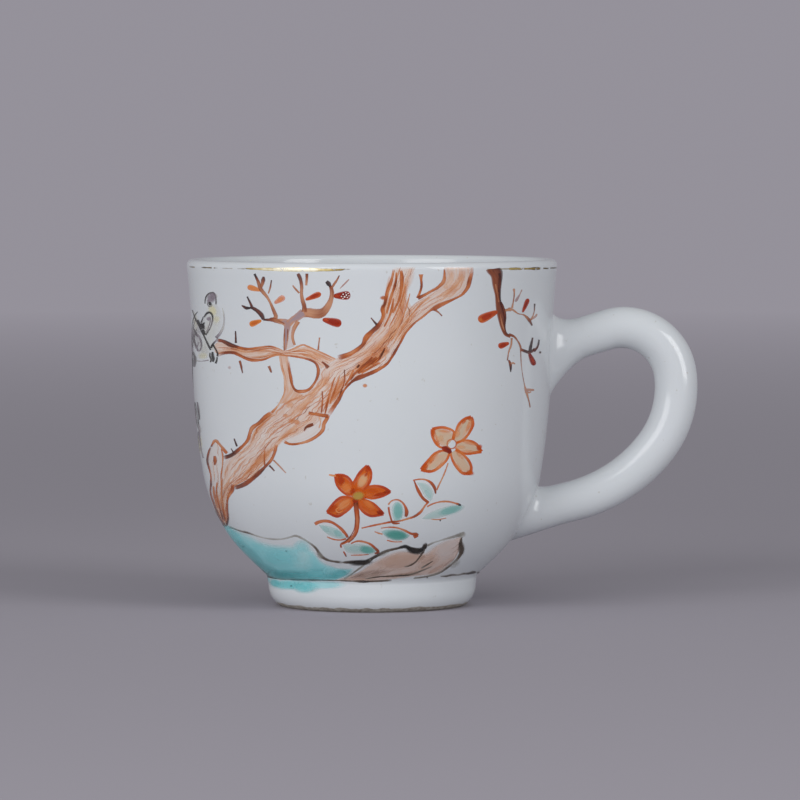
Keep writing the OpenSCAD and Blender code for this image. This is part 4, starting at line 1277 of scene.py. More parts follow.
PETAL_BLOTS = [
    (358.4, 494.4, 19, 15, 0.56, 1.0), (362.6, 480.6, 10, 17, 0.12, 0.95, 28),
    (344.6, 504, 19, 9, 0.26, 0.95, -38), (369, 504.4, 16, 8, 0.34, 0.8, 38),
    (346.4, 487.4, 11, 13, 0.3, 0.8, -30), (373, 491.6, 17, 6, 0.6, 0.7),
    (380, 494, 18, 4, 0.85, 0.8, -14), (367.8, 469, 6, 9, 0.8, 0.8, 25),
    (366, 474.6, 3, 6, 0.85, 0.6, 35), (341, 480.4, 9, 13, 0.76, 0.9, -25),
    (387, 492, 8, 5, 0.9, 0.7), (380, 512.6, 9, 5, 0.9, 0.9, 20),
    (333.6, 508.6, 12, 8, 0.7, 0.8, -40), (340, 512, 10, 4, 0.8, 0.6, -25),
    (355.2, 500.6, 7, 6, 0.85, 0.9), (352.6, 491, 7, 8, 0.8, 0.6), (363, 497.6, 8, 4, 0.75, 0.6),
    (470, 418.6, 9, 5, 0.66, 0.8, 10), (464, 421.4, 8, 4, 0.55, 0.6, -45),
    (424.6, 467, 10, 7, 0.58, 0.9, -50), (431, 461, 9, 4, 0.5, 0.6, -52),
    (470, 472.6, 9, 6, 0.56, 0.8, 20), (479, 447.4, 6, 8, 0.62, 0.9, 40),
    (433.4, 432, 5, 11, 0.56, 0.7, 0), (437, 443, 6, 8, 0.5, 0.5, -50),
    (457, 434, 7, 10, 0.24, 0.5, 30), (461, 447, 12, 5, 0.16, 0.5), (440.6, 438, 8, 8, 0.12, 0.5),
    (469, 425, 6, 18, 0.3, 0.45, 20), (459, 428, 5, 16, 0.26, 0.35, 30),
    (470, 443, 22, 5, 0.28, 0.45, 14), (468, 451.6, 20, 4, 0.26, 0.4, 4),
    (459.6, 455, 5, 14, 0.28, 0.4, -42), (458, 468, 5, 18, 0.26, 0.45, -38),
    (433, 458, 24, 5, 0.26, 0.45, -50), (440, 465.6, 20, 5, 0.24, 0.4, -44),
    (444, 431, 18, 4, 0.28, 0.4, 6), (436.6, 439, 5, 16, 0.3, 0.4, -18),
]
BACK_PETAL_BLOTS = [
    (452, 444.4, 20, 16, 0.58, 1.0), (464.6, 428, 9, 17, 0.16, 0.9, 25),
    (439.6, 437, 13, 10, 0.3, 0.8), (469, 447.4, 17, 7, 0.3, 0.7, 8),
    (461.6, 462.6, 17, 8, 0.26, 0.8, 50), (436.6, 461, 18, 8, 0.2, 0.9, -42),
    (471, 419.6, 8, 6, 0.85, 0.8), (470, 472, 9, 6, 0.8, 0.8), (424, 467.4, 10, 6, 0.85, 0.8, -45),
]
PETAL_LINES = [
    (0.94, [(441.6, 447.4, 2), (444.6, 448.6, 6), (448, 450, 6.4), (450.6, 453, 3)]),
    (0.25, [(336, 475.6, 2.4), (332.6, 475.4, 2), (329, 474.6, 1.2)]),
    (0.3, [(343, 510.4, 1.4), (338.6, 512.4, 1.6), (336, 509.4, 1.4), (339.6, 507, 1.2)]),
]


def inside(one, other, part):
    """Two sides drawn in towards the middle by a share of the way between them."""
    return between(one, other, part), between(one, other, 1 - part)


def paint_petals(brush, petals, fill, cover, rims, gap):
    """Fills petals within their outlines, with a wider and deeper rim of paint near each tip.

    The rims are (width at the base, width at the tip, tone at the base, tone at the tip).
    """
    for one, other in petals:
        brush.patch(*inside(one, other, gap), fill, cover, across=8, step=1.5, fade=gap / 2)
    brush.rise_over()
    base_w, tip_w, tone, tip_tone = rims
    for one, other in petals:
        for side in (one, other):
            last = len(side) - 1
            parts = [(i / last) ** 1.5 for i in range(last + 1)]
            brush.line([
                (x, y, base_w + (tip_w - base_w) * part, tone + (tip_tone - tone) * part)
                for (x, y), part in zip(side, parts)
            ], cover=0.92)


def paint_blossoms():
    """Paints the two open flowers over the rocks, and the two at the back."""
    brush = Painting(lift=0.022 * MM, seed=41)
    paint_petals(brush, FULL_PETALS, 0.48, 1.0, (2.2, 2.8, 0.58, 0.78), 0.0)
    paint_petals(brush, PALE_PETALS, 0.06, 0.6, (2.3, 3.4, 0.4, 0.56), 0.06)
    brush.rise_over()
    brush.blots(PETAL_BLOTS)
    brush.rise_over()
    brush.lines(PETAL_LINES)
    brush.move_to(BACK)
    paint_petals(brush, PALE_PETALS, 0.46, 1.0, (2.2, 3.0, 0.56, 0.75), 0.0)
    paint_petals(brush, FULL_PETALS, 0.02, 0.85, (2.2, 3.2, 0.4, 0.56), 0.09)
    brush.rise_over()
    brush.blots(BACK_PETAL_BLOTS)
    material = enamel_material(
        "blossom_enamel_orange", PETAL_ORANGE, streak=0.14, grain=0.1, pooling=0.05
    )
    brush.finish("painted_blossoms", "blossom_enamel", material)


LEAF_GREEN = (
    (0.0, srgb(182, 194, 192)), (0.4, srgb(146, 184, 184)), (0.75, srgb(90, 160, 152)),
    (1.0, srgb(52, 128, 116)),
)
# Each leaf as its two sides from the stem to the tip, and its tone
LEAVES = [
    ([(347, 538), (342, 531.5), (336, 527.4), (330, 525.4), (324, 524.6), (318.5, 524.6)],
        [(347, 538), (341, 539.4), (335, 538.4), (328.6, 535.6), (323, 531), (318.5, 524.6)], 0.25),
    ([(342.6, 545), (348, 543.4), (356, 542.6), (363, 542.6), (370, 546), (376, 551.4)],
        [(342.6, 545), (346.4, 552), (353, 554.8), (361, 554.6), (369, 554), (376, 551.4)], 0.16),
    ([(396, 522), (392.6, 518), (391.2, 512), (391, 506.4), (394, 502.6), (398, 501.6)],
        [(396, 522), (400.4, 521), (403, 517), (404, 511), (402.4, 504.6), (398, 501.6)], 0.3),
    ([(430.5, 501.6), (424, 496), (420.6, 490.6), (418.4, 486), (416.6, 482)], [(430.5, 501.6),
        (434.4, 494), (432, 487.6), (425.6, 483), (416.6, 482)], 0.15),
    ([(381, 531.6), (386, 528.8), (393, 528.2), (401, 530), (406, 532.8), (410, 535.4)],
        [(381, 531.6), (386, 536.6), (392, 540), (399, 541), (405.4, 539.2), (410, 535.4)], 0.35),
    ([(421, 519), (428, 513), (437, 508.4), (447, 505.6), (455, 505), (463, 506)], [(421, 519),
        (431, 519.6), (440, 518.4), (449, 515), (457, 511), (463, 506)], 0.18),
]
LEAF_BLOTS = [
    (367, 549.4, 20, 10, 0.8, 0.75, 10), (355, 548, 16, 8, 0.3, 0.5),
    (396.6, 534.8, 27, 12, 0.9, 0.9, 4), (450.8, 510, 30, 10, 0.64, 0.65, -16),
    (398.2, 511, 12, 20, 0.66, 0.7), (428, 494, 6, 14, 0.3, 0.5, -35),
    (403, 535.6, 2.6, 2.4, 1.25, 0.9), (338, 533, 12, 7, 0.5, 0.6, 30),
    (326, 529, 10, 7, 0.3, 0.5, 30),
]


def paint_leaves():
    """Paints the leaves in thick green enamel, each short of its outline."""
    brush = Painting(lift=0.024 * MM, seed=51)
    for place in (FRONT, BACK):
        brush.move_to(place)
        for one, other, tone in LEAVES:
            brush.patch(
                one, other, tone, cover=0.9, across=10, dome=THICK, step=1.5, fade=0.15,
                soft=(0.2, 0.2)
            )
    brush.rise_over(THICK)
    for place in (FRONT, BACK):
        brush.move_to(place)
        brush.blots(LEAF_BLOTS)
    material = enamel_material(
        "leaf_enamel_green", LEAF_GREEN, streak=0.1, grain=0.08, pooling=-0.15, gloss=0.12
    )
    brush.finish("painted_leaves", "leaf_enamel", material)


STEM_BROWN = (
    (0.0, srgb(164, 138, 64)), (0.25, srgb(190, 128, 86)), (0.5, srgb(178, 80, 28)),
    (0.8, srgb(124, 54, 26)), (1.0, srgb(44, 28, 24)),
)
STEM_LINES = [
    (0.42, [(355.2, 500, 4, 0.85), (356.6, 506, 4.6, 0.6), (357.4, 520, 4.2), (356.4, 529.6, 3.4),
        (352.6, 536.6, 2.6), (347, 541.5, 2), (342, 544, 1.6)]),
    (0.7, [(354, 503, 1.4, 0.9), (354.8, 511, 1.3), (355.4, 520, 1.2), (354.6, 528, 1.2),
        (351, 535.4, 1.2), (346, 540.6, 1.4), (341, 544, 2), (341.4, 547.4, 1.6)]),
    (0.62, [(356.6, 503, 1.4, 0.9), (358.4, 511, 1.3), (359.2, 520, 1.2), (358, 530, 1.2),
        (354, 537.6, 1.2), (348.4, 542.4, 1.1)]),
    (0.28, [(448, 463, 1.2), (445.6, 470, 1.3), (442, 478.6, 1.3), (439, 484.6, 1.4),
        (436.6, 490, 1.4)]),
    (0.4, [(361.6, 528, 1.2), (370, 526, 1.6), (379.6, 524, 1.8), (392, 521.6, 1.8, 0.6),
        (399.5, 520.8, 1.6), (408, 518.4, 1.8, 0.3), (414.5, 516.2, 2.4, 0.6), (420.7, 511.6, 2.4),
        (424.6, 506, 1.8), (428.4, 501.8, 1.6, 0.6)]),
    (0.42, [(315, 524, 3.2, 0.3), (318.6, 522, 3.4), (325, 520.8, 3), (332.4, 522.4, 2.6),
        (340, 527.6, 2.8, 0.5), (345.6, 533.6, 3, 0.55), (347.8, 537.4, 2.6, 0.6)]),
    (0.38, [(327, 536.6, 0.9), (333, 539, 1.2), (340, 539.8, 1.4), (346, 538.6, 1.6, 0.6)]),
    (0.36, [(351, 543.4, 1.2), (357, 541, 1.6), (364, 541.6, 1.8), (370.4, 544, 2.2),
        (375, 548, 2.8, 0.6), (378.4, 551.6, 3, 0.8), (374.6, 553.2, 1.6, 0.8)]),
    (0.6, [(343.6, 551.4, 1.4), (345.2, 554, 1.8), (346.4, 556.4, 1.2, 0.9)]),
    (0.4, [(351, 555, 0.8), (360, 554.8, 0.9), (369, 554.2, 0.9)]),
    (0.6, [(388.6, 507, 1.8), (389.2, 512, 2.2), (390.8, 518, 1.8), (392.4, 522.4, 2),
        (396, 523.2, 2.2), (399.6, 523, 1.4)]),
    (0.35, [(388.3, 504.6, 1.4), (391.6, 500.8, 1.4), (397, 499.6, 1.4), (402, 502, 1.8),
        (405.4, 507, 2.8, 0.55), (406.6, 512.4, 4, 0.62), (405.6, 516.6, 2.6, 0.7)]),
    (0.4, [(413, 480.4, 1.6), (418.6, 479.2, 1.4), (425, 479.6, 1.6), (430.6, 482.4, 3.2, 0.55),
        (434.4, 487.6, 3, 0.6), (435.6, 493.6, 1.4, 0.8)]),
    (0.55, [(414.2, 481, 1.4), (416.4, 486.6, 2.6), (419, 492, 3.4), (422.8, 498, 3.2),
        (428.6, 502.6, 2.6)]),
    (0.3, [(374.6, 531.4, 0.9), (378.6, 533, 1.4), (382.6, 534, 1)]),
    (0.4, [(381, 528, 0.9), (389, 527, 1.2), (397, 527.6, 1.6), (404.5, 530.2, 2),
        (411, 533.4, 2.4, 0.5), (416.8, 534.4, 4, 0.62), (413.6, 537, 3, 0.6)]),
    (0.35, [(387, 540, 0.9), (394, 541.6, 1), (402, 541.4, 0.9)]),
    (0.32, [(427, 506.6, 1.2), (433, 503.6, 1.4), (441, 501.6, 1.6), (449, 501.6, 1.8),
        (456, 503.4, 1.8), (459.2, 504.6, 2.6, 1.0)]),
    (0.28, [(431, 519, 0.8), (438, 519.4, 0.9), (446, 518, 0.8)]),
]
STEM_BLOTS = [
    (358.2, 495.6, 14, 10, 0.0, 0.85, -10), (459.6, 504.8, 3.4, 2.6, 1.1, 1.0),
    (440, 520.2, 2, 2, 1.1, 1.0),
]
CENTRE = (451.6, 443.9, 4.6)


def paint_stems():
    """Paints the flowers' stems and middles and the outlines of their leaves."""
    brush = Painting(lift=0.085 * MM, seed=61)
    brush.lines(STEM_LINES, cover=0.9)
    brush.rise_over()
    brush.blots(STEM_BLOTS)
    x, y, radius = CENTRE
    turns = [math.tau * i / 12 for i in range(13)]
    ring = [(x + radius * math.cos(t), y + radius * math.sin(t), 1.1) for t in turns]
    brush.line(ring, tone=0.34)
    brush.move_to(BACK)
    brush.lines(STEM_LINES, cover=0.9)
    brush.rise_over()
    brush.blots(STEM_BLOTS)
    material = enamel_material("stem_enamel_brown", STEM_BROWN, streak=0.12, grain=0.1)
    brush.finish("painted_stems", "stem_enamel", material)


ROCK_GREEN = (
    (0.0, srgb(184, 214, 216)), (0.35, srgb(142, 208, 214)), (0.6, srgb(108, 192, 198)),
    (0.85, srgb(72, 156, 160)), (1.0, srgb(36, 84, 88)),
)
GREEN_TOP = [
    (225.6, 524.6), (233, 528), (247, 531.6), (262, 539), (276, 544), (290, 543.5), (303, 541.6),
    (313, 548), (320, 558), (332, 565), (345, 568), (357, 566),
]
GREEN_LOW = [
    (228, 534), (236, 550), (247, 564), (261, 573.6), (276, 578), (290, 579.5), (303, 580.5),
    (314, 581), (324, 581), (333, 580.5), (340, 578), (347, 575),
]
GREEN_BLOTS = [
    (235, 537, 34, 15, 0.5, 0.45, 50), (250, 553, 50, 13, 0.72, 0.4, 44),
    (302, 557, 26, 36, 0.04, 0.24, -15), (303, 555, 13, 22, 0.04, 0.16, -15),
    (302, 546, 20, 16, 0.5, 0.3), (282, 556, 44, 26, 0.52, 0.3), (274, 552, 60, 18, 0.45, 0.25, 14),
    (292, 574.6, 80, 11, 0.86, 0.5, 4), (286, 575.6, 44, 8, 0.86, 0.35, 4),
    (268, 570, 44, 13, 0.82, 0.4, 24), (318, 573, 50, 12, 0.66, 0.4),
    (338, 573, 36, 12, 0.78, 0.45, -6), (262, 572, 14, 7, 0.95, 0.8, 36),
    (286.6, 550.6, 2.6, 2, 1.0, 0.8), (344.6, 571.8, 2.4, 2, 1.0, 0.9),
    (306, 586.8, 32, 15, 0.72, 0.5), (305, 588.6, 18, 9, 0.6, 0.3), (324, 584.4, 48, 11, 0.5, 0.45),
    (286, 584.4, 34, 12, 0.7, 0.55), (297, 584.6, 46, 12, 0.6, 0.45),
    (291.8, 585.8, 2.2, 2.2, 1.0, 0.8), (275.6, 582.6, 15, 9, 0.7, 0.7, 16),
    (244, 546, 3, 2.4, 0.9, 0.4), (330, 570, 18, 11, 0.3, 0.3),
]
# Sides of the rock where it runs on round the cup, in pixels as if seen square from the left
FAR_TOP = [
    (430, 532), (410, 526), (392, 524.6), (372, 525), (354, 528), (338, 537), (324, 548),
    (310, 560), (296, 571),
]
FAR_LOW = [
    (430, 574), (410, 577), (392, 579), (372, 580.3), (354, 580.6), (338, 580), (324, 578.6),
    (310, 576.6), (296, 574.5),
]
FAR_BLOTS = [
    (398, 572, 60, 12, 0.85, 0.8, -3), (360, 573, 50, 12, 0.75, 0.7),
    (372, 548, 44, 28, 0.12, 0.45, -20), (346, 556, 30, 14, 0.55, 0.6, -35),
    (396, 546, 26, 16, 0.5, 0.5), (330, 566, 26, 10, 0.8, 0.6, -35), (352, 585, 40, 12, 0.4, 0.7),
    (384, 584, 34, 12, 0.55, 0.7), (366, 588, 18, 9, 0.3, 0.6),
]


def paint_green_rocks():
    """Paints the rocks in turquoise enamel, which runs down over the foot."""
    brush = Painting(lift=0.022 * MM, seed=71)
    brush.move_to(LEFT)
    brush.patch(
        FAR_TOP, FAR_LOW, tone=0.35, across=16, dome=THICK, fade=0.06, soft=(0.16, 0.03),
        lean=(0.0, 0.3)
    )
    brush.rise_over()
    brush.blots(FAR_BLOTS)
    brush.move_to(FRONT)
    brush.rise_over()
    brush.patch(
        GREEN_TOP, GREEN_LOW, tone=0.3, across=20, dome=THICK, fade=0.1, soft=(0.26, 0.03),
        lean=(-0.05, 0.24)
    )
    brush.rise_over(THICK)
    brush.blots(GREEN_BLOTS)
    material = enamel_material(
        "rock_enamel_green", ROCK_GREEN, streak=0.12, grain=0.12, opacity=0.95, pooling=-0.1,
        gloss=0.1
    )
    brush.finish("painted_green_rocks", "green_rock_enamel", material)


ROCK_PINK = (
    (0.0, srgb(198, 190, 188)), (0.4, srgb(200, 176, 164)), (0.7, srgb(184, 152, 134)),
    (1.0, srgb(98, 74, 60)),
)
PINK_TOP = [
    (338, 579.5), (347, 576), (357, 572), (364, 567), (372, 561), (384, 555), (398, 550),
    (410, 551), (424, 552), (436, 544), (450, 539), (461, 536),
]
PINK_LOW = [
    (345, 580.5), (355, 581), (367, 581.3), (380, 581), (392, 580), (404, 578.6), (416, 577),
    (427, 576), (438, 574), (448, 566), (456, 558), (460, 548),
]
PINK_BLOTS = [
    (402, 560, 52, 20, 0.62, 0.7, -10), (428, 562, 34, 14, 0.6, 0.6, -35),
    (370, 574, 44, 9, 0.95, 0.4, -8), (448, 548, 34, 22, 0.1, 0.5, -30),
    (436, 569, 24, 5, 0.7, 0.5, -30), (404, 574.6, 40, 4, 0.85, 0.5, -4),
    (412, 573, 18, 5, 0.8, 0.4, -12), (422, 558, 12, 4, 0.75, 0.4, -40),
    (360, 579, 30, 4, 0.7, 0.5),
]


def paint_pink_rocks():
    """Paints the rock in thin pink enamel."""
    brush = Painting(lift=0.022 * MM, seed=81)
    brush.patch(PINK_TOP, PINK_LOW, tone=0.32, cover=0.85, across=12, soft=(0.16, 0.05))
    brush.rise_over()
    brush.blots(PINK_BLOTS)
    brush.rise_over()
    brush.streaks(
        PINK_TOP, PINK_LOW, 12, widths=(1.0, 2.2), tones=(0.6, 0.9), covers=(0.1, 0.28),
        reach=(0.12, 0.35), band=(0.3, 0.95)
    )
    brush.move_to(BACK)
    brush.patch(PINK_TOP, PINK_LOW, tone=0.36, cover=0.85, across=12, soft=(0.16, 0.05))
    brush.rise_over()
    brush.blots(PINK_BLOTS)
    material = enamel_material("rock_enamel_pink", ROCK_PINK, streak=0.15)
    brush.finish("painted_pink_rocks", "pink_rock_enamel", material)


INK = (
    (0.0, srgb(166, 166, 160)), (0.3, srgb(130, 126, 118)), (0.6, srgb(84, 70, 58)),
    (1.0, srgb(14, 14, 14)),
)
RIDGE_LINES = [
    (0.2, [(228, 526, 1.8, 0.4, 0.7), (233, 528, 1.5, 0.4, 0.7), (240, 530.6, 1.5, 0.5, 0.7),
        (248, 532.6, 2, 0.5, 0.7), (256, 535.4, 1.4, 0.2, 0.55), (264, 537.6, 1.6, 0.15, 0.5),
        (272, 538.8, 1.8, 0.15, 0.5), (282, 538.8, 1.8, 0.15, 0.5), (290, 537, 1.8, 0.1, 0.5),
        (296, 535.6, 2.4, 0.15, 0.6), (303, 538.6, 1.8, 0.2, 0.6), (310, 543, 2, 0.3, 0.65),
        (315.6, 547.6, 2.2, 0.5, 0.8), (319.4, 553, 3, 0.6, 0.85), (323.6, 557.6, 2.6, 0.7, 0.9),
        (330.6, 560.6, 2.2, 0.5, 0.85), (342.4, 562.2, 2.4, 0.6, 0.85)]),
    (0.9, [(341, 562.2, 1.6, 0.5), (349.7, 561.9, 3, 0.95), (357, 561.6, 3.4, 1.0),
        (364.2, 562.4, 4.2, 1.0), (369.4, 560, 4, 0.95), (374, 557, 3, 0.85),
        (384.8, 551.4, 2.8, 0.8), (391, 549.6, 2.4, 0.7), (397.4, 548.1, 2.4, 0.75),
        (402, 546.8, 3, 0.85), (405.8, 546.4, 3.6, 0.9), (410.3, 548.6, 4.6, 1.0),
        (416.3, 550.2, 4.8, 1.0), (421.6, 549.2, 4, 1.0), (424.4, 546.8, 3.8, 0.95),
        (426, 543.8, 3, 0.9), (424.6, 542.4, 1.6, 0.9)]),
    (0.3, [(427, 545.6, 2.2, 0.4, 0.8), (433, 542.6, 1.6, 0.1, 0.55), (441, 540, 1.6, 0.1, 0.5),
        (449, 537.6, 2.4, 0.3, 0.6), (456, 535.6, 3.2, 0.3, 0.6), (461, 534, 3.4, 0.4, 0.7),
        (464.6, 531.8, 1.6, 0.3, 0.6)]),
    (0.9, [(461.6, 536, 1.6, 0.5), (460.8, 540.4, 2.6, 0.8), (460.4, 545, 4, 1.0),
        (461.6, 549.4, 4.4, 0.8), (459.8, 554.6, 3.2, 0.6), (456, 560, 2.4, 0.55),
        (448, 566.6, 2, 0.5), (439.3, 572.4, 2, 0.45), (427.2, 576, 1.6, 0.4),
        (413, 578, 1.4, 0.35)]),
    (0.7, [(425, 549, 1.3, 0.7), (420, 556, 1.5, 0.7), (415, 562, 1.6, 0.65),
        (409, 565.4, 1.4, 0.7), (404, 566.4, 1, 0.4)]),
    (0.5, [(433, 560.5, 1, 0.5), (427.6, 564, 1.5, 0.6), (421, 568, 1.2, 0.4)]),
    (0.6, [(432, 566, 1, 0.3), (420, 571, 1.4, 0.5), (409, 574.6, 1.6, 0.65),
        (399, 575.4, 1.5, 0.8), (388, 576, 1.4, 0.7), (378, 576.6, 1.3, 0.7),
        (365, 578.6, 1, 0.5)]),
    (0.3, [(371, 559, 1.6), (366, 563.4, 1.6), (357, 570, 1.6), (350, 575, 1.4),
        (344, 578.5, 1.3)]),
    (0.6, [(262, 571, 1.4, 1.0), (266, 574.4, 2.6, 1.0), (272, 577.6, 1.8, 0.8),
        (282, 579, 1.3, 0.6), (296, 579.4, 1.5, 0.7), (310, 579.6, 1.5, 0.8),
        (325, 579.8, 1.2, 0.6), (340, 580.2, 1.3, 0.55), (353, 580.8, 1.6, 0.6),
        (364, 581.2, 2.6, 0.9), (372, 581, 1.8, 0.6), (382, 580.6, 2, 0.7),
        (392, 579.8, 1.4, 0.5)]),
    (0.5, [(440, 576, 0.8, 0.4, 0.5), (446, 575.8, 1.6, 0.6, 0.8), (452, 574.6, 1.9, 0.7, 0.85),
        (458, 574.6, 1.2, 0.5, 0.6), (463, 573.4, 1.7, 0.55, 0.8), (468, 573.2, 2, 0.7, 0.85),
        (473, 572, 2.6, 0.8, 0.9), (476, 571.6, 1.4, 0.7, 0.7)]),
]
FAR_RIDGES = [
    (0.3, [(399, 525.4, 1.6, 0.5), (386, 523, 1.8), (370, 522.4, 1.6), (354, 525, 1.8, 0.5),
        (340, 533.6, 2, 0.7), (328, 543, 3, 0.9), (320, 549.6, 3.4, 1.0), (312, 556.6, 2.2, 0.7),
        (302, 565, 1.8, 0.5), (292, 573, 1.6, 0.4)]),
    (0.6, [(356, 527, 1.2, 0.5), (352, 538, 1.8, 0.7), (345, 549, 1.6), (336, 557, 1.2, 0.4)]),
    (0.6, [(398, 577.6, 1.6, 0.8), (380, 579.8, 1.4), (360, 580.6, 1.5), (340, 580.2, 1.4),
        (320, 578.8, 1.4), (302, 576.4, 1.2, 0.4)]),
]
RIDGE_BLOTS = [
    (320, 555, 11, 6, 0.3, 0.5, 45), (415, 550.6, 20, 8, 0.95, 0.9, 8), (461, 548, 8, 16, 0.7, 0.8),
    (361, 562.4, 26, 7, 0.95, 0.9, -5), (455, 563, 14, 8, 0.1, 0.4, -45),
    (478, 572.4, 5, 3, 0.6, 0.6), (424.6, 546, 6, 7, 0.9, 0.8), (384, 552.6, 18, 5, 0.4, 0.4, -25),
    (462, 534.6, 9, 6, 0.15, 0.5, -20), (427, 577, 2, 2, 0.9, 0.8),
]


def paint_ridge():
    """Paints the black lines over the rocks."""
    brush = Painting(lift=0.085 * MM, seed=91)
    brush.lines(RIDGE_LINES, cover=0.9, fade=0.04)
    brush.move_to(LEFT)
    brush.lines(FAR_RIDGES, cover=0.85, fade=0.04)
    brush.move_to(BACK)
    brush.lines(RIDGE_LINES[1:8], cover=0.9, fade=0.04)
    brush.move_to(FRONT)
    brush.rise_over()
    brush.blots(RIDGE_BLOTS)
    material = enamel_material(
        "ridge_enamel_black", INK, streak=0.2, opacity=0.95, pooling=-0.1, gloss=0.25
    )
    brush.finish("painted_ridge", "ridge_enamel", material)


FEATHER = (
    (0.0, srgb(204, 198, 158)), (0.15, srgb(182, 182, 172)), (0.4, srgb(132, 122, 132)),
    (0.7, srgb(74, 70, 68)), (1.0, srgb(22, 22, 18)),
)
BIRD_BLOTS = [
    (212.6, 310.6, 9, 13, 0.0, 0.6, -25), (216.6, 319, 8, 8, 0.0, 0.35),
    (211.6, 297.6, 11, 12, 0.42, 0.95), (213.6, 294.6, 6, 5, 0.42, 0.8),
    (209, 301, 5, 4.4, 0.42, 0.8), (208.7, 318.9, 5, 5, 0.4, 0.9), (203, 356, 12, 8, 0.03, 0.3),
    (206, 331, 4, 20, 0.18, 0.4, 20), (200.4, 430, 3, 10, 0.3, 0.5), (200.6, 445, 4, 20, 0.05, 0.6),
    (213, 347, 6, 8, 0.2, 0.5), (199, 341, 6, 26, 0.3, 0.4, -15),
    (197.6, 328, 6, 24, 0.3, 0.4, -24), (202.4, 326, 6, 12, 0.7, 0.5, -25),
    (213, 296, 7, 9, 0.45, 0.6), (216, 321, 8, 9, 0.1, 0.25), (204, 352, 14, 18, 0.2, 0.2),
]
BIRD_LINES = [
    (0.7, [(205.2, 303.6, 1), (205.6, 299, 1.4), (207, 295.6, 1.5), (209.6, 293.2, 1.3),
        (213.2, 292.2, 1.2)]),
    (0.6, [(213.4, 292.4, 1.2), (215.6, 295.4, 1.4), (216.3, 300, 1.4), (216.2, 304.4, 1.2)]),
    (0.97, [(209.4, 302, 2), (210.4, 303.8, 3.6), (211, 305.4, 2)]),
    (0.5, [(207.8, 302.4, 0.8), (208, 305, 0.9), (210, 306.6, 0.9), (212.4, 305.6, 0.8)]),
    (0.85, [(204.4, 317.2, 1.2), (206.4, 314, 2), (209.3, 312.3, 2.4), (211.8, 313.8, 2.2),
        (212.9, 317, 1.8), (212.4, 322, 1.3, 0.5), (210.6, 327.5, 1.3, 0.5), (207.9, 332, 1.3, 0.6),
        (206, 335, 1.4, 0.8)]),
    (0.4, [(210.4, 316.4, 0.8), (210.4, 321.6, 0.9), (208.4, 328, 0.9), (206.4, 332, 0.8)]),
    (0.2, [(222.6, 308, 0.8, 0.15, 0.3), (223.9, 313.5, 1.4, 0.2, 0.5), (224.4, 320, 1.6, 0.2, 0.5),
        (223.4, 327, 2, 0.25, 0.55), (220.6, 333, 3, 0.35, 0.65), (216.4, 338, 3.4, 0.45, 0.75)]),
    (0.9, [(203.6, 316.6, 0.9), (202.2, 320.6, 1.6), (201.6, 322.6, 1)]),
    (0.97, [(197.2, 320, 1.6), (198.8, 323.6, 3), (200.4, 326.6, 2.2)]),
    (0.85, [(204.6, 322.4, 1.2), (203.4, 325.4, 2.2), (204.4, 328.8, 1.4)]),
    (0.5, [(193.6, 327.6, 1), (195.4, 332.4, 1.8, 0.7), (196.6, 336, 1.2)]),
    (0.5, [(192.8, 334.4, 1.2), (194.2, 340.4, 1.8, 0.65), (196.4, 346, 1.6), (198.4, 350.6, 1.2)]),
    (0.97, [(198, 319.6, 1.4), (198.6, 322, 2.6), (199.2, 324, 1.4)]),
    (1.0, [(201, 323.4, 2), (202.3, 326, 4), (203.4, 328.6, 2.4)]),
    (0.97, [(202.6, 329.6, 1.6), (204.2, 331.6, 2.6), (205.2, 334.6, 2)]),
    (0.9, [(192.3, 309.7, 0.8, 0.4), (194.9, 317.1, 1.2), (197.6, 322.6, 1.6),
        (201.2, 329.6, 2, 0.97), (204.1, 335.5, 1.8, 1.0), (207.5, 342.9, 1.8, 1.0),
        (211, 350, 2, 1.0)]),
    (0.75, [(218, 338.5, 1.2, 0.3), (215.4, 341.6, 2, 0.5), (212.9, 344.4, 2.2, 0.95),
        (211.4, 348, 2, 1.0)]),
    (0.97, [(213, 344.4, 1.8), (215.6, 348.6, 1.8), (217.9, 353.3, 2), (217.6, 356.4, 2)]),
    (0.8, [(210.4, 352.7, 1.2), (210.2, 356, 1.6), (211.6, 359.4, 2.2), (210.6, 362.2, 1.6)]),
    (1.0, [(212.8, 351.8, 1.6), (213, 355.6, 3), (213.9, 359, 3), (213.2, 361.8, 1.8)]),
    (0.95, [(217.4, 357, 1.2), (217, 360.4, 1.6), (215.8, 363.4, 2.4)]),
    (0.4, [(192.3, 330.3, 1.2), (193.6, 336, 2.4, 0.6), (194.6, 342, 1.4), (196.4, 348.7, 1)]),
    (0.55, [(194.3, 329.4, 1), (196.6, 334, 1.6), (198, 337, 1.2)]),
    (0.45, [(198, 334.4, 1.2), (200.7, 339.5, 1.6), (201.8, 345.8, 1.4), (199.6, 351, 1.1),
        (197.2, 349.3, 1), (198.6, 342.4, 1)]),
    (0.7, [(193.2, 351.7, 1.4), (195.2, 358, 2.6), (194.9, 363, 2.8), (194.4, 367, 1.8, 0.5)]),
    (0.3, [(196.6, 360.8, 1.2), (202, 361.2, 1), (208.7, 360.2, 1.2)]),
    (0.6, [(197.5, 402, 1.2), (198.8, 411, 2), (199.8, 419.6, 1.2)]),
    (0.35, [(199, 424, 1), (199.8, 437, 1.4), (202, 452, 1.2), (203.6, 458, 1)]),
]
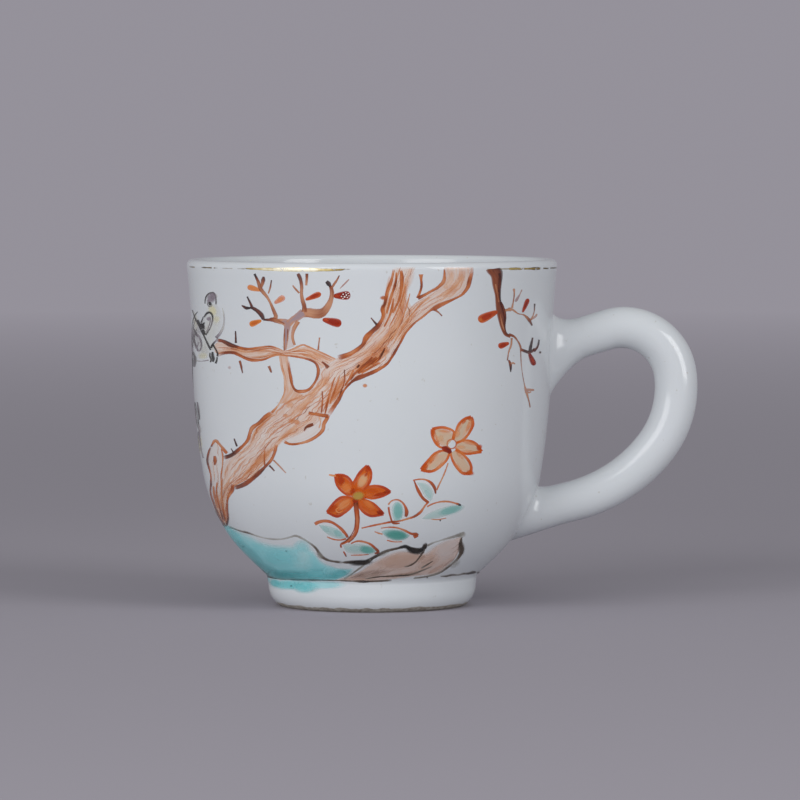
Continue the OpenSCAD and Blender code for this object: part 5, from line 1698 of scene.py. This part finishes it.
# The back and the long tail, in pixels as if seen square from the left
TAIL_BLOTS = [
    (408, 340, 34, 30, 0.3, 0.4, 20), (396, 354, 22, 22, 0.4, 0.4), (420, 326, 22, 22, 0.12, 0.4),
    (364, 390, 16, 66, 0.25, 0.5, 24), (351, 418, 15, 48, 0.0, 0.4, 16),
    (380, 366, 14, 36, 0.4, 0.4, 42), (396, 424, 15, 18, 0.3, 0.35, 20),
    (397, 450, 15, 14, 0.0, 0.45, -20),
]
TAIL_LINES = [
    (0.8, [(430, 316, 1), (414, 322, 1.6), (400, 330, 1.6), (386, 342, 1.5), (372, 357, 1.3),
        (361, 374, 1)]),
    (0.6, [(424, 323, 1), (408, 332, 1.5), (394, 344, 1.4), (381, 358, 1.2)]),
    (0.6, [(424, 334, 1), (408, 343, 1.5), (394, 354, 1.2)]),
    (0.55, [(391, 356, 2.2), (378, 369, 3.4), (366, 389, 4), (357, 411, 3.4), (350, 433, 2),
        (347, 445, 1)]),
    (0.9, [(396, 365, 1.2), (384, 375, 1.4), (371, 391, 1.4), (361, 411, 1.2), (355, 432, 1)]),
    (0.35, [(385, 352, 2), (371, 366, 3), (359, 386, 3.4), (350, 409, 3), (344, 429, 1.6)]),
    (0.9, [(380, 350, 1), (365, 365, 1.3), (353, 386, 1.4), (344, 408, 1.3), (338, 429, 1)]),
    (0.7, [(388, 360, 1), (374, 374, 1.1), (362, 394, 1), (353, 416, 1.1), (346, 438, 1)]),
    (0.7, [(408, 434, 1), (404, 420, 1.4), (396, 411, 1.5), (387, 414, 1.4), (388, 425, 1.2),
        (396, 433, 1.2), (407, 438, 1)]),
    (0.6, [(405, 441, 1), (395, 441, 1.3), (388, 448, 1.3), (390, 458, 1.2), (399, 458, 1.2),
        (406, 448, 1)]),
    (0.4, [(404, 432, 0.9), (397, 424, 1), (393, 416, 0.8)]),
    (0.9, [(409, 432, 1.4), (406.5, 440, 2.6), (403, 452, 1.6)]),
    (0.9, [(409.5, 431, 0.8), (413, 424, 0.7), (414, 417, 0.7)]),
]
# The bird's lines are drawn finer than their widths say
FINE = 0.9
BIRD_LEFT = [(207, 304), (203.5, 312), (200, 322), (199, 334), (198, 346), (198, 358)]
BIRD_RIGHT = [(217, 304), (223, 312), (224.5, 322), (221.5, 334), (213, 346), (208, 358)]


def paint_birds():
    """Paints the bird on the branch at the left edge, its long tail and an insect."""
    brush = Painting(lift=0.020 * MM, seed=101)
    brush.patch(BIRD_LEFT, BIRD_RIGHT, tone=0.14, cover=0.3, soft=SOFT_SIDES)
    brush.rise_over()
    brush.blots(BIRD_BLOTS)
    brush.move_to(LEFT)
    brush.blots(TAIL_BLOTS)
    brush.rise_over()
    brush.lines(TAIL_LINES, cover=0.85)
    brush.move_to(FRONT)
    brush.rise_over()
    for tone, points in BIRD_LINES:
        fine = [(x, y, FINE * width, *looks) for x, y, width, *looks in points]
        brush.line(fine, tone, cover=0.85)
    material = enamel_material("bird_enamel_grey", FEATHER, streak=0.1, grain=0.06)
    brush.finish("painted_birds", "bird_enamel", material)


# Gilt lines as (tone, points); the first one rises to a painted highlight, the dashes are worn
# gilding
GILT_LINES = [
    (0.5, [(244, 268.4, 1, 0.25), (252, 268.8, 1.8, 0.45), (264, 269.1, 2.8, 0.75),
        (280.8, 269.5, 4, 0.95), (297.5, 269.6, 4.6, 1.0), (314.3, 269.9, 3.8, 0.9),
        (325.4, 270, 3, 0.5), (336.6, 269.9, 2.6, 0.4), (345, 269.5, 1.6, 0.25),
        (351, 269, 1, 0.1)]),
    (0.1, [(189, 266.6, 1.2, 0.1, 0.4), (192, 267, 1.6, 0.1, 0.7), (195, 267.2, 0.8)]),
    (0.0, [(201, 267.4, 0.8, 0.0, 0.4), (204, 267.5, 1.8, 0.0, 0.9), (208, 267.7, 1.2),
        (212, 267.8, 1.8, 0.0, 0.9)]),
    (0.0, [(213.4, 267.9, 1.4, 0.0, 0.9), (218, 268.1, 0.8, 0.1, 0.5)]),
    (0.1, [(222, 268.2, 0.7, 0.1, 0.5), (228, 268.4, 0.9, 0.1, 0.6), (233, 268.5, 0.7, 0.1, 0.4)]),
    (0.1, [(237, 268.6, 0.8, 0.1, 0.5), (245, 268.9, 1, 0.2, 0.7)]),
    (0.2, [(487, 269.2, 0.7), (500, 269, 0.9), (511, 268.9, 1.4, 0.4)]),
    (0.4, [(509, 268.9, 2), (516, 268.8, 3.2, 0.5), (523, 268.8, 2, 0.3), (529, 268.7, 2.2, 0.2),
        (535, 268.6, 3.6, 0.25), (541, 268.4, 2.2, 0.2)]),
    (0.0, [(543, 268.3, 1.6), (549, 268.4, 1.6)]),
    (0.0, [(550, 268.1, 1.6), (557, 267.8, 1)]),
]
# From the worn brown ground up to bright gold; the near-white top stop is a painted highlight
GILT_TONES_WITH_PAINTED_HIGHLIGHT = (
    (0.0, srgb(66, 56, 40)), (0.35, srgb(138, 110, 36)), (0.7, srgb(208, 188, 118)),
    (1.0, srgb(252, 246, 220)),
)


def gilt_material():
    """Rubbed gilding that shows its brown ground where it is worn."""
    material, tree, shader = new_material("rubbed_gilding_with_painted_highlight")
    paint = add(tree, "Attribute", attribute_name="paint").outputs["Vector"]
    tone, cover, pool = add(tree, "SeparateXYZ", {0: paint}).outputs
    place = add(tree, "TexCoord").outputs["Object"]
    wear = noisy(tree, place, scale=900.0, detail=4.0)
    rubs = maths(tree, "MULTIPLY", maths(tree, "SUBTRACT", wear, 0.5), 0.8)
    # Painted sheen: each line is lighter along its middle and darker at its edges
    middle = maths(tree, "MULTIPLY", maths(tree, "SUBTRACT", pool, 0.5), 0.5)
    wear_and_painted_highlight = maths(tree, "ADD", maths(tree, "ADD", tone, rubs), middle, clamp=True)
    rubbed = ramp(tree, wear, (0.32, 0.0), (0.42, 1.0))
    soft = maths(tree, "MULTIPLY", pool, 3.0, clamp=True)
    link_or_set(tree, shader, {
        "Base Color": ramp(tree, wear_and_painted_highlight, *GILT_TONES_WITH_PAINTED_HIGHLIGHT),
        "Metallic": 0.25,
        "Roughness": 0.28,
        "Alpha": maths(tree, "MULTIPLY", maths(tree, "MULTIPLY", rubbed, soft), cover),
    })
    return material


def gild_rim():
    """Lays the worn gilt line round the lip."""
    brush = Painting(lift=0.012 * MM, seed=111)
    brush.lines(GILT_LINES, fade=0.04)
    brush.move_to(FAR_GILT)
    brush.lines(GILT_LINES, fade=0.04)
    brush.finish("worn_gilding", "rim_gilding", gilt_material())


# Stage

SENSOR_MM = 36.0
CLIP = (0.01, 50.0)
FLOOR_SIDES = 96


def make_camera():
    """Hangs the camera where the photograph was taken from."""
    stage = bpy.context.scene.cup_stage
    data = bpy.data.cameras.new("photo_camera")
    data.sensor_width = SENSOR_MM
    data.lens = SENSOR_MM * stage.focal_px / PICTURE_PX
    data.clip_start, data.clip_end = CLIP
    camera = bpy.data.objects.new("photo_camera", data)
    camera.location = stage.eye
    camera.rotation_euler = (math.pi / 2 - stage.pitch, 0.0, 0.0)
    bpy.context.scene.collection.objects.link(camera)
    bpy.context.scene.camera = camera


def seen_by_eye(tree):
    """1 for camera, glossy and transmission rays, which see the backdrop's own colour."""
    path = add(tree, "LightPath").outputs
    total = maths(tree, "ADD", path["Is Camera Ray"], path["Is Glossy Ray"])
    return maths(tree, "ADD", total, path["Is Transmission Ray"], clamp=True)


def light_world():
    """Lights the cup softly from all round, with the backdrop's colour behind it."""
    stage = bpy.context.scene.cup_stage
    world = bpy.data.worlds.new("studio")
    bpy.context.scene.world = world
    world.use_nodes = True
    tree = world.node_tree
    tree.nodes.clear()
    level = mixed(tree, seen_by_eye(tree), rgba(stage.sky), rgba(stage.backdrop))
    shade = add(tree, "Background", {"Color": level})
    add(tree, "OutputWorld", {"Surface": shade.outputs[0]})


def floor_material():
    """A matt floor that fades into the backdrop far from the cup."""
    stage = bpy.context.scene.cup_stage
    material = bpy.data.materials.new("studio_floor")
    material.use_nodes = True
    tree = material.node_tree
    tree.nodes.clear()
    place = add(tree, "TexCoord").outputs["Object"]
    distance = add(tree, "VectorMath", {0: place}, operation="LENGTH").outputs["Value"]
    far = add(tree, "MapRange", {
        "Value": distance, "From Min": stage.fade_r, "From Max": stage.floor_r
    })
    matt = add(tree, "BsdfDiffuse", {"Color": rgba(stage.floor)})
    clear = add(tree, "BsdfTransparent")
    blend = add(tree, "MixShader", {0: far.outputs[0], 1: matt.outputs[0], 2: clear.outputs[0]})
    add(tree, "OutputMaterial", {"Surface": blend.outputs[0]})
    return material


def lay_floor():
    """Lays the round floor that the cup stands on."""
    stage = bpy.context.scene.cup_stage
    bm = bmesh.new()
    bmesh.ops.create_circle(bm, cap_ends=True, segments=FLOOR_SIDES, radius=stage.floor_r)
    mesh = bpy.data.meshes.new("studio_floor")
    bm.to_mesh(mesh)
    bm.free()
    floor = bpy.data.objects.new("studio_floor", mesh)
    mesh.materials.append(floor_material())
    bpy.context.scene.collection.objects.link(floor)


# Each light as (name, place, size, watts, whether it shows in the glaze)
LIGHTS = [
    ("left_softbox", (-0.78, -0.9, 0.42), (0.8, 0.8), 6.0, True),
    ("right_softbox", (0.9, -0.72, 0.42), (0.5, 0.8), 5.8, True),
    ("low_fill", (-0.6, -1.14, 0.21), (1.0, 0.4), 4.8, False),
]


def hang_light(name, place, size, watts, shows):
    """Hangs a rectangular soft light that faces the cup."""
    data = bpy.data.lights.new(name, "AREA")
    data.shape = "RECTANGLE"
    data.size, data.size_y = size
    data.energy = watts
    light = bpy.data.objects.new(name, data)
    light.location = place
    light.visible_glossy = shows
    aim = Vector((0.0, 0.0, BOWL_HIGH.z / 2)) - Vector(place)
    light.rotation_euler = aim.to_track_quat("-Z", "Y").to_euler()
    bpy.context.scene.collection.objects.link(light)


def set_stage():
    """Sets up the camera, the floor and the lights."""
    make_camera()
    light_world()
    lay_floor()
    for light in LIGHTS:
        hang_light(*light)
    bpy.context.scene.view_settings.view_transform = "Standard"


def operator(step):
    """An operator class that runs one step, named and described as the step is."""

    def execute(self, context):
        step()
        return {"FINISHED"}

    body = {
        "__doc__": step.__doc__.rstrip("."),
        "bl_idname": "cup." + step.__name__,
        "bl_label": step.__name__.replace("_", " ").capitalize(),
        "execute": execute,
    }
    return type("CUP_OT_" + step.__name__, (bpy.types.Operator,), body)


OPERATORS = [
    operator(step) for step in (
        set_stage, throw_bowl, pull_handle, paint_tree, paint_twigs, paint_buds, paint_blossoms,
        paint_leaves, paint_stems, paint_green_rocks, paint_pink_rocks, paint_ridge, paint_birds,
        gild_rim,
    )
]
GROUPS = [
    (CUP_PG_bowl, "cup_bowl"), (CUP_PG_handle, "cup_handle"), (CUP_PG_glaze, "cup_glaze"),
    (CUP_PG_stage, "cup_stage"),
]


class CUP_PT_tools(bpy.types.Panel):
    """Lists the steps that build the cup"""

    bl_label = "Handled cup"
    bl_idname = "CUP_PT_tools"
    bl_space_type = "VIEW_3D"
    bl_region_type = "UI"
    bl_category = "Cup"

    def draw(self, context):
        for step in OPERATORS:
            self.layout.operator(step.bl_idname)


def register():
    """Adds the properties, the steps and the panel to Blender."""
    for group, name in GROUPS:
        bpy.utils.register_class(group)
        setattr(bpy.types.Scene, name, bpy.props.PointerProperty(type=group))
    for step in OPERATORS:
        bpy.utils.register_class(step)
    bpy.utils.register_class(CUP_PT_tools)


def unregister():
    """Takes out what register adds."""
    bpy.utils.unregister_class(CUP_PT_tools)
    for step in reversed(OPERATORS):
        bpy.utils.unregister_class(step)
    for group, name in reversed(GROUPS):
        delattr(bpy.types.Scene, name)
        bpy.utils.unregister_class(group)


def main():
    """Builds the cup step by step and writes down its size."""
    register()
    for step in OPERATORS:
        family, name = step.bl_idname.split(".")
        getattr(getattr(bpy.ops, family), name)()


if __name__ == "__main__":
    main()
